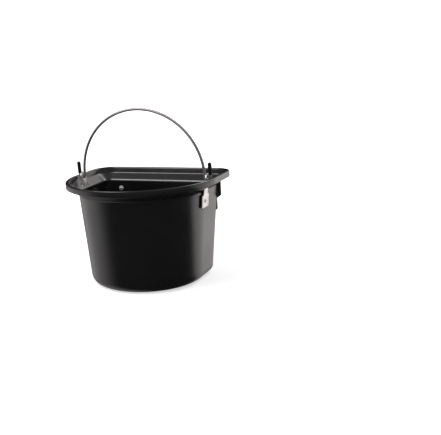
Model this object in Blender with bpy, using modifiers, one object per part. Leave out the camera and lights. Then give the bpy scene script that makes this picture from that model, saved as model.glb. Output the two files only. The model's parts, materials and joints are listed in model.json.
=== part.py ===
"""Hanging feed bucket: a moulded tub with a flat back, two bar hooks, two bail ears and a wire bail.

Metres, +Z up. The bucket stands on Z = 0 with its flat back towards +Y. The origin is on the underside
of the floor, below the centre of the round front. Heights count up from there. An inset counts inwards
from the outer edge of the rim.
"""

import math

import bmesh
import bpy
from mathutils import Matrix, Vector

# Clearance that touching pieces keep
GAP = 0.0003

# Tub
HEIGHT = 0.268
RIM_RADIUS = 0.200
RIM_BACK = 0.138
RIM_CORNER = 0.052
WALL = 0.003
WALL_CORNER = 0.020
FLOOR_CORNER = 0.006
FLOOR_ROUND = 0.023
FLOOR_EDGE = 0.002
DRAFT = math.radians(4.35)
OVERHANG = 0.032
LIP_HEIGHT = 0.015
LIP_ROUND = 0.001
CROWN_WIDTH = 0.008
BEAD_TAPER = 0.0045
BEAD_FOOT_ROUND = 0.004
SHOULDER_DROP = 0.016
SHOULDER_ROUND = 0.006
FRONT_STEPS = 36
CORNER_STEPS = 6

# Gussets under the two back corners of the rim
GUSSET_ANGLE = math.radians(25.0)
GUSSET_REACH = 0.0085
GUSSET_DEPTH = 0.0405
GUSSET_THICK = 0.0035

# Bail ears
EAR_Y = -0.004
EAR_RIVET_DEPTH = 0.0585
EAR_WIDTH = 0.042
EAR_HEIGHT = 0.032
EAR_NECK = 0.0245
EAR_THICK = 0.0025
EAR_CRANK = math.radians(5.35)
EAR_CORNER = 0.003
EAR_SHOULDER_ROUND = 0.002
EYE_RADIUS = 0.0065
EYE_PLAY = 0.0006
EYE_STEPS = 28
PAD_HEIGHT = 0.0012
PAD_MARGIN = 0.003
PAD_CORNER = 0.004
SLOT_END_PLAY = 0.003
SLOT_INNER_PLAY = 0.001
SLOT_OUTER_PLAY = 0.0045

# Bail
PIN_DEPTH = 0.004
WIRE_RADIUS = 0.0035
BAIL_HEIGHT = 0.177
BAIL_LEAN = math.radians(4.0)
BEND_RADIUS = 0.006
BEND_STEPS = 6
LEG_PLAY = 0.0007
TAIL_PLAY = 0.0007
ARCH_STEPS = 52

# End caps of the bail
CAP_RADIUS = 0.0048
CAP_LENGTH = 0.031
CAP_END = 0.0025
CAP_CLEAR = 0.0055

# Bar hooks
BAR_WIDTH = 0.020
BAR_THICK = 0.004
BAR_BEND = 0.003
BAR_END_ROUND = 0.005
HOOK_OPENING = 0.068
LEG_LENGTH = 0.092
STRIP_EDGE = 0.001
STRIP_END = 0.001
UPPER_RIVET_DROP = 0.022
LOWER_RIVET_RISE = 0.0135

# Blind rivets and their backing washers
SHANK_RADIUS = 0.00195
HOLE_PLAY = 0.00015
HEAD_RADIUS = 0.0041
HEAD_FLAT_RADIUS = 0.0024
HEAD_HEIGHT = 0.0013
HEAD_EDGE = 0.0005
TAIL_RADIUS = 0.003
TAIL_LENGTH = 0.004
TAIL_TAPER = 0.002
MANDREL_RADIUS = 0.0011
MANDREL_RECESS = 0.0012
MANDREL_HEAD_RADIUS = 0.0018
MANDREL_HEAD_LENGTH = 0.0018
MANDREL_TIP_RADIUS = 0.0013
MANDREL_TAPER = 0.0007
WASHER_RADIUS = 0.007
WASHER_THICK = 0.0012
TURN_STEPS = 20
HOLE_STEPS = 20

# Heights and places that follow from the sizes above
LIP_Z = HEIGHT - LIP_HEIGHT
FOOT_Z = LIP_Z - SHOULDER_DROP
PIN_Z = HEIGHT - PIN_DEPTH
EAR_RIVET_Z = HEIGHT - EAR_RIVET_DEPTH
EAR_LEAN = DRAFT + EAR_CRANK
EYE_RISE = EYE_RADIUS - EYE_PLAY - WIRE_RADIUS
HOLE_RADIUS = SHANK_RADIUS + HOLE_PLAY
SIDES = {"right": 1, "left": -1}


def wall_inset(height):
    """Inset of the wall's outer face at a height."""
    return OVERHANG + (FOOT_Z - height) * math.tan(DRAFT)


def sagitta(radius, reach):
    """How far a circle falls away from its tangent at a distance along it."""
    return radius - math.sqrt(radius * radius - reach * reach)


def shifted(line, distance):
    """A line of two points, moved to its right."""
    start, end = line
    along = (end - start).normalized()
    right = Vector((along.y, -along.x)) * distance
    return start + right, end + right


def meet(line, other):
    """The point where two lines cross."""
    along = line[1] - line[0]
    across = other[1] - other[0]
    share = (other[0] - line[0]).cross(across) / along.cross(across)
    return line[0] + along * share


def level(height):
    """A horizontal line in a section."""
    return Vector((0.0, height)), Vector((1.0, height))


def arc(centre, radius, start, end, steps):
    """Points of an arc between two angles."""
    angles = [start + (end - start) * i / steps for i in range(steps + 1)]
    return [Vector((centre[0] + radius * math.cos(a), centre[1] + radius * math.sin(a))) for a in angles]


def corner_arc(before, corner, after, radius, steps):
    """The arc that rounds a corner. A third coordinate blends along it."""
    back = before - corner
    on = after - corner
    half = back.xy.angle(on.xy) / 2
    reach = radius / math.tan(half)
    start = corner + back * (reach / back.xy.length)
    end = corner + on * (reach / on.xy.length)
    bisector = (back.xy.normalized() + on.xy.normalized()).normalized()
    centre = corner.xy + bisector * (radius / math.sin(half))
    first = math.atan2(start.y - centre.y, start.x - centre.x)
    last = math.atan2(end.y - centre.y, end.x - centre.x)
    turn = (last - first + math.pi) % (2 * math.pi) - math.pi
    points = []
    for i, point in enumerate(arc(centre, radius, first, first + turn, steps)):
        points.append(Vector((point.x, point.y, start.z + (end.z - start.z) * i / steps)))
    return points


def rounded(corners, closed=True):
    """A polyline through corners of (point, radius, steps), with an arc at each that has a radius."""
    points = []
    count = len(corners)
    for i, (point, radius, steps) in enumerate(corners):
        inner = closed or 0 < i < count - 1
        if radius > 0 and inner:
            before = corners[i - 1][0]
            after = corners[(i + 1) % count][0]
            points.extend(corner_arc(before, point, after, radius, steps))
        else:
            points.append(point)
    return points


def material(name, colour, roughness, metallic):
    """A plain Principled material."""
    made = bpy.data.materials.new(name)
    made.use_nodes = True
    shader = made.node_tree.nodes["Principled BSDF"]
    shader.inputs["Base Color"].default_value = (*colour, 1.0)
    shader.inputs["Roughness"].default_value = roughness
    shader.inputs["Metallic"].default_value = metallic
    return made


def add_object(name, data, finish, place=None):
    """An object of the bucket, with its material."""
    made = bpy.data.objects.new(name, data)
    parts.objects.link(made)
    data.materials.append(finish)
    if place is not None:
        made.matrix_world = place
    return made


def add_tool(name, data, place):
    """A body that is joined to a part or cut from it, kept out of sight."""
    made = bpy.data.objects.new(name, data)
    tools.objects.link(made)
    made.matrix_world = place
    made.hide_render = True
    made.display_type = "WIRE"
    return made


def combine(part, tool, operation):
    """Join a tool to a part, or cut it out."""
    step = part.modifiers.new(tool.name, "BOOLEAN")
    step.operation = operation
    step.object = tool
    step.solver = "EXACT"


def smooth(mesh, angle=math.radians(35.0)):
    """Shade a mesh smooth, with its sharp edges kept."""
    mesh.shade_smooth()
    mesh.set_sharp_from_angle(angle=angle)


def plate_mesh(name, outlines, thickness):
    """A flat plate on its middle plane. The first outline is its edge, and the others are holes."""
    curve = bpy.data.curves.new(name, "CURVE")
    curve.dimensions = "2D"
    curve.fill_mode = "BOTH"
    curve.extrude = thickness / 2
    for outline in outlines:
        spline = curve.splines.new("POLY")
        spline.points.add(len(outline) - 1)
        spline.use_cyclic_u = True
        for target, point in zip(spline.points, outline):
            target.co = (point.x, point.y, 0.0, 1.0)
    flat = bpy.data.objects.new(name, curve)
    tools.objects.link(flat)
    seen = bpy.context.evaluated_depsgraph_get()
    mesh = bpy.data.meshes.new_from_object(flat.evaluated_get(seen))
    bpy.data.objects.remove(flat)
    body = bmesh.new()
    body.from_mesh(mesh)
    bmesh.ops.remove_doubles(body, verts=body.verts, dist=1e-6)
    bmesh.ops.recalc_face_normals(body, faces=body.faces)
    body.to_mesh(mesh)
    body.free()
    mesh.materials.clear()
    return mesh


def turned_object(name, profile, finish, place, closed=False):
    """A turned piece. Its profile of (radius, height) runs down the outer side."""
    mesh = bpy.data.meshes.new(name)
    links = [(i, i + 1) for i in range(len(profile) - 1)]
    if closed:
        links.append((len(profile) - 1, 0))
    mesh.from_pydata([(radius, 0.0, height) for radius, height in profile], links, [])
    made = add_object(name, mesh, finish, place)
    turn = made.modifiers.new("Turn", "SCREW")
    turn.axis = "Z"
    turn.steps = TURN_STEPS
    turn.render_steps = TURN_STEPS
    turn.use_merge_vertices = True
    turn.merge_threshold = 1e-5
    turn.use_smooth_shade = False
    return made


def drill_mesh(name, radius, length):
    """A round cutter along Z, centred on its length."""
    mesh = bpy.data.meshes.new(name)
    body = bmesh.new()
    bmesh.ops.create_cone(body, cap_ends=True, segments=HOLE_STEPS, radius1=radius, radius2=radius, depth=length)
    body.to_mesh(mesh)
    body.free()
    return mesh


def box_mesh(name, size):
    """A box centred on its own origin."""
    mesh = bpy.data.meshes.new(name)
    body = bmesh.new()
    bmesh.ops.create_cube(body, size=1.0)
    bmesh.ops.scale(body, vec=size, verts=body.verts)
    body.to_mesh(mesh)
    body.free()
    return mesh


def frame(origin, across, up, out):
    """A placing whose X, Y and Z run across, up and out."""
    turn = Matrix((across, up, out)).transposed().to_4x4()
    return Matrix.Translation(origin) @ turn


def ear_frame(side):
    """The seat of an ear: its rivet's place on the wall, with Z out of the wall."""
    sine, cosine = math.sin(DRAFT), math.cos(DRAFT)
    origin = (side * (RIM_RADIUS - wall_inset(EAR_RIVET_Z)), EAR_Y, EAR_RIVET_Z)
    return frame(origin, (0.0, side, 0.0), (side * sine, 0.0, cosine), (side * cosine, 0.0, -sine))


def back_frame(x, height):
    """A place on the flat back, with Z out of the wall and Y up along it."""
    sine, cosine = math.sin(DRAFT), math.cos(DRAFT)
    origin = (x, RIM_BACK - wall_inset(height), height)
    return frame(origin, (-1.0, 0.0, 0.0), (0.0, sine, cosine), (0.0, cosine, -sine))


def tub_section():
    """Named lines and corners of the tub's wall, as (inset, height)."""
    outer_wall = Vector((wall_inset(0.0), 0.0)), Vector((OVERHANG, FOOT_Z))
    inner_wall = shifted(outer_wall, WALL)
    bead_foot = Vector((CROWN_WIDTH + BEAD_TAPER, LIP_Z))
    shoulder = bead_foot, Vector((OVERHANG + WALL, FOOT_Z))
    under_shoulder = shifted(shoulder, WALL)
    bead_face = Vector((CROWN_WIDTH, HEIGHT)), bead_foot
    groove_face = shifted(bead_face, WALL)
    return {
        "floor_edge": outer_wall[0],
        "foot": meet(outer_wall, under_shoulder),
        "knee": meet(groove_face, under_shoulder),
        "groove_in": meet(groove_face, level(HEIGHT - WALL)),
        "groove_out": Vector((WALL, HEIGHT - WALL)),
        "lip_in": Vector((WALL, LIP_Z)),
        "lip_out": Vector((0.0, LIP_Z)),
        "crown_out": Vector((0.0, HEIGHT)),
        "crown_in": bead_face[0],
        "bead_foot": bead_foot,
        "mouth": meet(inner_wall, shoulder),
        "inner_floor_edge": meet(inner_wall, level(WALL)),
    }


def rim_corner(point):
    """Plan radius of the back corners where the rim is one skin that follows its edge."""
    return RIM_CORNER - point.x


def tub_profile():
    """The tub's section from its underside, up the outside, over the rim and down to the inner floor.

    Each point is (inset, height, plan radius of the back corners).
    """
    at = tub_section()
    inner_round = FLOOR_ROUND - WALL
    crown_round = CROWN_WIDTH / 2
    underside = Vector((at["floor_edge"].x + FLOOR_ROUND + FLOOR_EDGE, 0.0))
    inner_floor = Vector((at["inner_floor_edge"].x + inner_round + FLOOR_EDGE, WALL))
    inner_corner = WALL_CORNER - WALL
    corners = [
        (underside, FLOOR_CORNER, 0.0, 0),
        (at["floor_edge"], WALL_CORNER, FLOOR_ROUND, 5),
        (at["foot"], WALL_CORNER, SHOULDER_ROUND, 4),
        (at["knee"], rim_corner(at["knee"]), BEAD_FOOT_ROUND, 3),
        (at["groove_in"], rim_corner(at["groove_in"]), 0.0, 0),
        (at["groove_out"], rim_corner(at["groove_out"]), 0.0, 0),
        (at["lip_in"], rim_corner(at["lip_in"]), 0.0, 0),
        (at["lip_out"], RIM_CORNER, LIP_ROUND, 2),
        (at["crown_out"], RIM_CORNER, crown_round, 5),
        (at["crown_in"], rim_corner(at["crown_in"]), crown_round, 4),
        (at["bead_foot"], rim_corner(at["bead_foot"]), BEAD_FOOT_ROUND, 3),
        (at["mouth"], inner_corner, SHOULDER_ROUND + WALL, 5),
        (at["inner_floor_edge"], inner_corner, inner_round, 5),
        (inner_floor, FLOOR_CORNER, 0.0, 0),
    ]
    return rounded([(Vector((p.x, p.y, plan)), r, s) for p, plan, r, s in corners], closed=False)


def plan(inset, corner):
    """The tub's outline in plan at an inset: a half circle in front, straight sides and a flat back."""
    radius = RIM_RADIUS - inset
    x = radius - corner
    y = RIM_BACK - inset - corner
    front = arc((0.0, 0.0), radius, math.pi, 2 * math.pi, FRONT_STEPS)
    right = arc((x, y), corner, 0.0, math.pi / 2, CORNER_STEPS)
    left = arc((-x, y), corner, math.pi / 2, math.pi, CORNER_STEPS)
    return front + right + left


def corner_point(inset, corner, angle):
    """A point on the right back corner of an outline."""
    x = RIM_RADIUS - inset - corner
    y = RIM_BACK - inset - corner
    return Vector((x + corner * math.cos(angle), y + corner * math.sin(angle)))


def tub_mesh():
    """The tub as a loft of outlines along its section."""
    body = bmesh.new()
    rings = []
    for inset, height, corner in tub_profile():
        rings.append([body.verts.new((p.x, p.y, height)) for p in plan(inset, corner)])
    for low, high in zip(rings, rings[1:]):
        for i in range(len(low)):
            j = (i + 1) % len(low)
            body.faces.new((low[i], low[j], high[j], high[i]))
    body.faces.new(reversed(rings[0]))
    body.faces.new(rings[-1])
    mesh = bpy.data.meshes.new("tub")
    body.to_mesh(mesh)
    body.free()
    smooth(mesh)
    return mesh


def gusset_tool(side):
    """A rib in the corner between the back corner of the wall and the underside of the rim."""
    at = tub_section()
    foot, knee = at["foot"], at["knee"]
    start = corner_point(foot.x, WALL_CORNER, GUSSET_ANGLE)
    end = corner_point(knee.x, rim_corner(knee), GUSSET_ANGLE)
    run = (end - start).length
    out = (end - start).normalized()
    low = foot.y - GUSSET_DEPTH
    sunk = WALL / 2
    slope = (knee.y - foot.y) / run
    fall = (wall_inset(low) - wall_inset(foot.y)) * (out.x + out.y)
    outline = [
        Vector((-sunk, foot.y + sunk)),
        Vector((-sunk - fall, low)),
        Vector((-fall, low)),
        Vector((GUSSET_REACH, low + GUSSET_REACH)),
        Vector((GUSSET_REACH, foot.y + slope * GUSSET_REACH + sunk)),
    ]
    mesh = plate_mesh("gusset", [outline], GUSSET_THICK)
    across = (side * out.x, out.y, 0.0)
    normal = (out.y, -side * out.x, 0.0)
    place = frame((side * start.x, start.y, 0.0), across, (0.0, 0.0, 1.0), normal)
    return add_tool("gusset", mesh, place)


def pad_tool(side):
    """The flat seat that is moulded on the wall for an ear."""
    width = EAR_WIDTH / 2 - PAD_MARGIN
    height = EAR_HEIGHT / 2 - PAD_MARGIN
    corners = [(-width, -height), (width, -height), (width, height), (-width, height)]
    outline = rounded([(Vector((x, y, 0.0)), PAD_CORNER, 3) for x, y in corners])
    fall = sagitta(RIM_RADIUS - wall_inset(EAR_RIVET_Z), abs(EAR_Y) + width)
    sunk = (fall + WALL) / 2
    mesh = plate_mesh("ear_pad", [outline], PAD_HEIGHT + sunk)
    return add_tool("ear_pad", mesh, ear_frame(side) @ Matrix.Translation((0.0, 0.0, (PAD_HEIGHT - sunk) / 2)))


def neck_place(side):
    """The cranked upper part of an ear: Y runs up the neck from the crank, on its middle plane."""
    seat = Matrix.Translation((0.0, crank_height(), ear_middle()))
    return ear_frame(side) @ seat @ Matrix.Rotation(EAR_CRANK, 4, "X")


def slot_tool(side):
    """The slot in the shoulder of the rim that an ear's neck passes through."""
    at = tub_section()
    low = (at["foot"].y - crank_z()) / math.cos(EAR_LEAN)
    high = (LIP_Z - crank_z()) / math.cos(EAR_LEAN)
    depth = EAR_THICK + SLOT_INNER_PLAY + SLOT_OUTER_PLAY
    mesh = box_mesh("slot", (EAR_NECK + 2 * SLOT_END_PLAY, high - low, depth))
    shift = Matrix.Translation((0.0, (high + low) / 2, (SLOT_OUTER_PLAY - SLOT_INNER_PLAY) / 2))
    return add_tool("slot", mesh, neck_place(side) @ shift)


def rivet_drill(place):
    """A cutter for a rivet's hole through a wall and its pad."""
    length = 4 * (WALL + PAD_HEIGHT)
    return add_tool("rivet_hole", drill_mesh("rivet_hole", HOLE_RADIUS, length), place)


def hook_x():
    """Middle of a hook's strip, which keeps to the flat of the back."""
    end = strip_end_z()
    flat = RIM_RADIUS - wall_inset(end) - WALL_CORNER
    return flat - STRIP_EDGE - BAR_WIDTH / 2


def strip_end_z():
    """Lower end of a hook's strip, above the rounded edge of the floor."""
    return FLOOR_ROUND + STRIP_END


def arm_top_z():
    """Top of a hook's arm, level with the foot of the rim's shoulder."""
    return tub_section()["foot"].y


def hook_rivet_heights():
    """Heights of a strip's two rivets, by name."""
    return {"upper": arm_top_z() - UPPER_RIVET_DROP, "lower": strip_end_z() + LOWER_RIVET_RISE}


def make_tub():
    """The moulded tub with its gussets, ear pads, ear slots and rivet holes."""
    tub = add_object("bucket_shell", tub_mesh(), black_plastic)
    for side in SIDES.values():
        combine(tub, gusset_tool(side), "UNION")
        combine(tub, pad_tool(side), "UNION")
    for side in SIDES.values():
        combine(tub, slot_tool(side), "DIFFERENCE")
        combine(tub, rivet_drill(ear_frame(side)), "DIFFERENCE")
        for height in hook_rivet_heights().values():
            combine(tub, rivet_drill(back_frame(side * hook_x(), height)), "DIFFERENCE")


def ear_middle():
    """Distance of an ear's middle plane from the wall that carries it."""
    return PAD_HEIGHT + GAP + EAR_THICK / 2


def crank_height():
    """Height of the crank above the rivet, along the ear."""
    return EAR_HEIGHT / 2 + EAR_SHOULDER_ROUND


def crank_z():
    """Height of the crank above the floor, on the ear's middle plane."""
    return EAR_RIVET_Z + crank_height() * math.cos(DRAFT) - ear_middle() * math.sin(DRAFT)


def eye_height():
    """Distance from the crank up the neck to the eye's centre."""
    return (PIN_Z + EYE_RISE - crank_z()) / math.cos(EAR_LEAN)


def pin_x():
    """Where the bail's pin crosses the right ear's middle plane."""
    eye = neck_place(1) @ Vector((0.0, eye_height(), 0.0))
    return eye.x - EYE_RISE * math.tan(EAR_LEAN)


def ear_mesh():
    """An ear: a riveted plate, and a cranked neck with the eye for the bail."""
    wide, neck = EAR_WIDTH / 2, EAR_NECK / 2
    high = EAR_HEIGHT / 2
    eye_y = crank_height() + eye_height()
    right = [
        (Vector((wide, -high, 0.0)), EAR_CORNER, 3),
        (Vector((wide, high, 0.0)), EAR_SHOULDER_ROUND, 3),
        (Vector((neck, high, 0.0)), EAR_SHOULDER_ROUND, 3),
    ]
    top = [(point.to_3d(), 0.0, 0) for point in arc((0.0, eye_y), neck, 0.0, math.pi, EYE_STEPS // 2)]
    left = [(Vector((-p.x, p.y, 0.0)), r, s) for p, r, s in reversed(right)]
    outline = rounded(right + top + left)
    eye = arc((0.0, eye_y), EYE_RADIUS, 0.0, 2 * math.pi, EYE_STEPS)[:-1]
    rivet = arc((0.0, 0.0), HOLE_RADIUS, 0.0, 2 * math.pi, HOLE_STEPS)[:-1]
    mesh = plate_mesh("ear", [outline, eye, rivet], EAR_THICK)
    crank(mesh)
    return mesh


def crank(mesh):
    """Bend an ear's neck outwards along a line across it."""
    line = Vector((0.0, crank_height(), 0.0))
    body = bmesh.new()
    body.from_mesh(mesh)
    everything = body.verts[:] + body.edges[:] + body.faces[:]
    bmesh.ops.bisect_plane(body, geom=everything, dist=1e-6, plane_co=line, plane_no=(0.0, 1.0, 0.0))
    neck = [v for v in body.verts if v.co.y > line.y + 1e-5]
    bmesh.ops.rotate(body, cent=line, matrix=Matrix.Rotation(EAR_CRANK, 3, "X"), verts=neck)
    body.to_mesh(mesh)
    body.free()


def make_ears():
    """The two bail ears."""
    for name, side in SIDES.items():
        place = ear_frame(side) @ Matrix.Translation((0.0, 0.0, ear_middle()))
        add_object(f"bail_ear_{name}", ear_mesh(), galvanised, place)


def bail_legs():
    """Distances from the middle of the bail's leg, inside the ear, and of its capped tail, outside it."""
    half = EAR_THICK / 2 / math.cos(EAR_LEAN)
    ear_top = pin_x() + half + (EYE_RISE + EAR_NECK / 2) * math.tan(EAR_LEAN)
    leg = pin_x() - half - LEG_PLAY - WIRE_RADIUS
    return leg, ear_top + TAIL_PLAY + CAP_RADIUS


def bail_bend():
    """Middle radius of the bends between a leg, the pin and a tail."""
    leg, tail = bail_legs()
    return min(BEND_RADIUS, (tail - leg) / 2)


def cap_foot():
    """Height of a cap's mouth above the bail's pin."""
    return bail_bend() + CAP_CLEAR


def bail_path():
    """Middle line of the bail's wire in its own plane, from its right tail to its left one."""
    leg, tail = bail_legs()
    tip = cap_foot() + CAP_LENGTH - CAP_END - GAP
    bend = bail_bend()
    half = [Vector((tail, tip))]
    half += arc((tail - bend, bend), bend, 0.0, -math.pi / 2, BEND_STEPS)
    half += arc((leg + bend, bend), bend, -math.pi / 2, -math.pi, BEND_STEPS)
    rise = BAIL_HEIGHT - bend
    steps = ARCH_STEPS // 2
    for i in range(1, steps):
        angle = math.pi / 2 * i / steps
        half.append(Vector((leg * math.cos(angle), bend + rise * math.sin(angle))))
    other = [Vector((-point.x, point.y)) for point in reversed(half)]
    return half + [Vector((0.0, BAIL_HEIGHT))] + other


def make_bail():
    """The wire bail and its two caps, on an empty at the pin's axis."""
    pivot = bpy.data.objects.new("bail_pivot", None)
    parts.objects.link(pivot)
    pivot.location = (0.0, EAR_Y, PIN_Z)
    pivot.rotation_euler = (BAIL_LEAN, 0.0, 0.0)
    curve = bpy.data.curves.new("bail", "CURVE")
    curve.dimensions = "3D"
    curve.bevel_depth = WIRE_RADIUS
    curve.bevel_resolution = 4
    curve.use_fill_caps = True
    spline = curve.splines.new("POLY")
    path = bail_path()
    spline.points.add(len(path) - 1)
    for target, point in zip(spline.points, path):
        target.co = (point.x, 0.0, point.y, 1.0)
    bail = add_object("bail", curve, galvanised)
    bail.parent = pivot
    for name, side in SIDES.items():
        cap = make_cap(f"bail_cap_{name}")
        cap.parent = pivot
        cap.location = (side * bail_legs()[1], 0.0, cap_foot())


def make_cap(name):
    """A blind cap that is pushed over a tail of the bail."""
    bore = WIRE_RADIUS + GAP
    dome = [(p.x, p.y) for p in arc((0.0, CAP_LENGTH - CAP_RADIUS), CAP_RADIUS, math.pi / 2, 0.0, 5)]
    profile = [(0.0, CAP_LENGTH)] + dome[1:]
    profile += [(CAP_RADIUS, 0.0), (bore, 0.0), (bore, CAP_LENGTH - CAP_END), (0.0, CAP_LENGTH - CAP_END)]
    return turned_object(name, profile, black_rubber, None)


def hook_outline():
    """Side view of a hook's bent bar, as (Y, Z): strip, arm and leg."""
    arm_z = arm_top_z()
    end_z = strip_end_z()
    wall = Vector((RIM_BACK - wall_inset(end_z), end_z)), Vector((RIM_BACK - wall_inset(arm_z), arm_z))
    back = shifted(wall, GAP)
    face = shifted(back, BAR_THICK)
    arm_under = level(arm_z - BAR_THICK)
    inside = meet(face, arm_under)
    leg_y = inside.x + HOOK_OPENING
    leg_end = arm_z - LEG_LENGTH
    outer_bend = BAR_BEND + BAR_THICK
    corners = [
        (face[0], 0.0),
        (inside, BAR_BEND),
        (Vector((leg_y, arm_z - BAR_THICK)), BAR_BEND),
        (Vector((leg_y, leg_end)), 0.0),
        (Vector((leg_y + BAR_THICK, leg_end)), 0.0),
        (Vector((leg_y + BAR_THICK, arm_z)), outer_bend),
        (meet(back, level(arm_z)), outer_bend),
        (back[0], 0.0),
    ]
    return rounded([(point.to_3d(), radius, 6) for point, radius in corners])


def hook_mesh():
    """A hook's bar, with its two ends rounded."""
    mesh = plate_mesh("hook", [hook_outline()], BAR_WIDTH)
    low = min(v.co.y for v in mesh.vertices)
    leg_end = arm_top_z() - LEG_LENGTH
    body = bmesh.new()
    body.from_mesh(mesh)
    ends = []
    for edge in body.edges:
        a, b = (vert.co for vert in edge.verts)
        in_side = abs(a.z - b.z) < 1e-6
        at_strip_end = max(a.y, b.y) < low + BAR_THICK / 2
        at_leg_end = abs(a.y - leg_end) < 1e-5 and abs(b.y - leg_end) < 1e-5
        if in_side and (at_strip_end or at_leg_end):
            ends.append(edge)
    bmesh.ops.bevel(body, geom=ends, offset=BAR_END_ROUND, segments=4, profile=0.5, affect="EDGES")
    bmesh.ops.recalc_face_normals(body, faces=body.faces)
    body.to_mesh(mesh)
    body.free()
    return mesh


def make_hooks():
    """The two bar hooks on the flat back."""
    for name, side in SIDES.items():
        x = side * hook_x()
        place = frame((x, 0.0, 0.0), (0.0, 1.0, 0.0), (0.0, 0.0, 1.0), (1.0, 0.0, 0.0))
        hook = add_object(f"hook_bar_{name}", hook_mesh(), black_coat, place)
        for height in hook_rivet_heights().values():
            drill = drill_mesh("bar_hole", HOLE_RADIUS, 8 * BAR_THICK)
            combine(hook, add_tool("bar_hole", drill, back_frame(x, height)), "DIFFERENCE")


def make_washer(name, place, seat):
    """A backing washer inside the tub. Its outer face is at the seat, along the rivet's axis."""
    bore = SHANK_RADIUS + GAP
    low = seat - WASHER_THICK
    profile = [(bore, seat), (WASHER_RADIUS, seat), (WASHER_RADIUS, low), (bore, low)]
    turned_object(name, profile, zinc_plate, place, closed=True)
    return low


def make_rivet(name, place, seat, tail_seat):
    """A set blind rivet: its head on the outside, and its tail bulged inside against the washer."""
    bore = MANDREL_RADIUS + GAP
    top = seat + HEAD_HEIGHT
    end = tail_seat - TAIL_LENGTH
    profile = [
        (bore, top),
        (HEAD_FLAT_RADIUS, top),
        (HEAD_RADIUS, seat + HEAD_EDGE),
        (HEAD_RADIUS, seat),
        (SHANK_RADIUS, seat),
        (SHANK_RADIUS, tail_seat),
        (TAIL_RADIUS, tail_seat),
        (TAIL_RADIUS, end + TAIL_TAPER),
        (SHANK_RADIUS, end),
        (bore, end),
    ]
    turned_object(name, profile, rivet_metal, place, closed=True)
    return top, end


def make_mandrel(name, place, top, end):
    """The broken-off pin that a set blind rivet keeps inside."""
    head = end - GAP
    tip = head - MANDREL_HEAD_LENGTH
    profile = [
        (0.0, top - MANDREL_RECESS),
        (MANDREL_RADIUS, top - MANDREL_RECESS),
        (MANDREL_RADIUS, head),
        (MANDREL_HEAD_RADIUS, head),
        (MANDREL_HEAD_RADIUS, tip + MANDREL_TAPER),
        (MANDREL_TIP_RADIUS, tip),
        (0.0, tip),
    ]
    turned_object(name, profile, pin_steel, place)


def make_fastening(name, place, outer_face, inner_face):
    """A rivet with its pin and washer, through a stack that lies between two faces along its axis."""
    washer_low = make_washer(f"{name}_washer", place, inner_face - GAP)
    top, end = make_rivet(f"{name}_rivet", place, outer_face + GAP, washer_low - GAP)
    make_mandrel(f"{name}_rivet_pin", place, top, end)


def make_fasteners():
    """The rivets of the two ears and of the two hooks."""
    reach = abs(EAR_Y) + WASHER_RADIUS
    fall = sagitta(RIM_RADIUS - wall_inset(EAR_RIVET_Z) - WALL, reach)
    for name, side in SIDES.items():
        make_fastening(f"ear_{name}", ear_frame(side), ear_middle() + EAR_THICK / 2, -WALL - fall)
        for end, height in hook_rivet_heights().items():
            place = back_frame(side * hook_x(), height)
            make_fastening(f"hook_{name}_{end}", place, GAP + BAR_THICK, -WALL)


def new_collection(name):
    """A collection in the scene."""
    made = bpy.data.collections.new(name)
    bpy.context.scene.collection.children.link(made)
    return made


for old in list(bpy.data.objects):
    bpy.data.objects.remove(old)

parts = new_collection("feed_bucket")
tools = new_collection("feed_bucket_cutters")

black_plastic = material("black_plastic", (0.012, 0.012, 0.013), 0.22, 0.0)
black_coat = material("black_coat", (0.015, 0.015, 0.016), 0.38, 0.0)
black_rubber = material("black_rubber", (0.014, 0.014, 0.014), 0.6, 0.0)
galvanised = material("galvanised", (0.62, 0.63, 0.64), 0.32, 1.0)
zinc_plate = material("zinc_plate", (0.55, 0.53, 0.48), 0.35, 1.0)
rivet_metal = material("rivet_metal", (0.70, 0.70, 0.70), 0.3, 1.0)
pin_steel = material("pin_steel", (0.22, 0.22, 0.23), 0.5, 1.0)

make_tub()
make_hooks()
make_ears()
make_bail()
make_fasteners()
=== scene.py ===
"""Looks of the hanging feed bucket, laid over its packed model.

Metres, +Z up, in the frame of the packed model: the bucket stands on Z = 0 with its flat back towards +Y.
An inset counts inwards from the outer edge of the rim.
"""

import json
import math

import bmesh
import bpy
from bpy.props import FloatProperty, FloatVectorProperty, PointerProperty
from bpy.types import Operator, Panel, PropertyGroup
from mathutils import Matrix, Quaternion, Vector


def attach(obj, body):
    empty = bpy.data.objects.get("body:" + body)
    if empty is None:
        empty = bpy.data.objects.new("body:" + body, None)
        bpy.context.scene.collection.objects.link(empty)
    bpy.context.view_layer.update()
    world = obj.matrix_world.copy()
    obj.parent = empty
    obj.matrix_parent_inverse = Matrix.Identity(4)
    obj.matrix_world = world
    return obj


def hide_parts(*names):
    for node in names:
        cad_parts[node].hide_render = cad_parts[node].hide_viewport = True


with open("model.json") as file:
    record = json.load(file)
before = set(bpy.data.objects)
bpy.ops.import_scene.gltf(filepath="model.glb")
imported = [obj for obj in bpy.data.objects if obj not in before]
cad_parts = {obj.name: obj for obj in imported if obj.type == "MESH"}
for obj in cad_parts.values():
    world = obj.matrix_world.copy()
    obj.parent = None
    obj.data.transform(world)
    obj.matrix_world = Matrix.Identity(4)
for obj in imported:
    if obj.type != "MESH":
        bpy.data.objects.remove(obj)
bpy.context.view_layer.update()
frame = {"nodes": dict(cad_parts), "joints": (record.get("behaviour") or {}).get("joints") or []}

bl_info = {
    "name": "Feed bucket looks",
    "version": (1, 0, 0),
    "blender": (4, 5, 0),
    "location": "3D View > Sidebar > Feed bucket",
    "description": "Builds the finished pieces of a hanging feed bucket and a studio for it",
    "category": "Object",
}

# Play between two pieces that lie on or in each other
GAP = 0.0003
# An edge that turns more than this stays sharp in the light
CREASE = math.radians(40.0)
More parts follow.
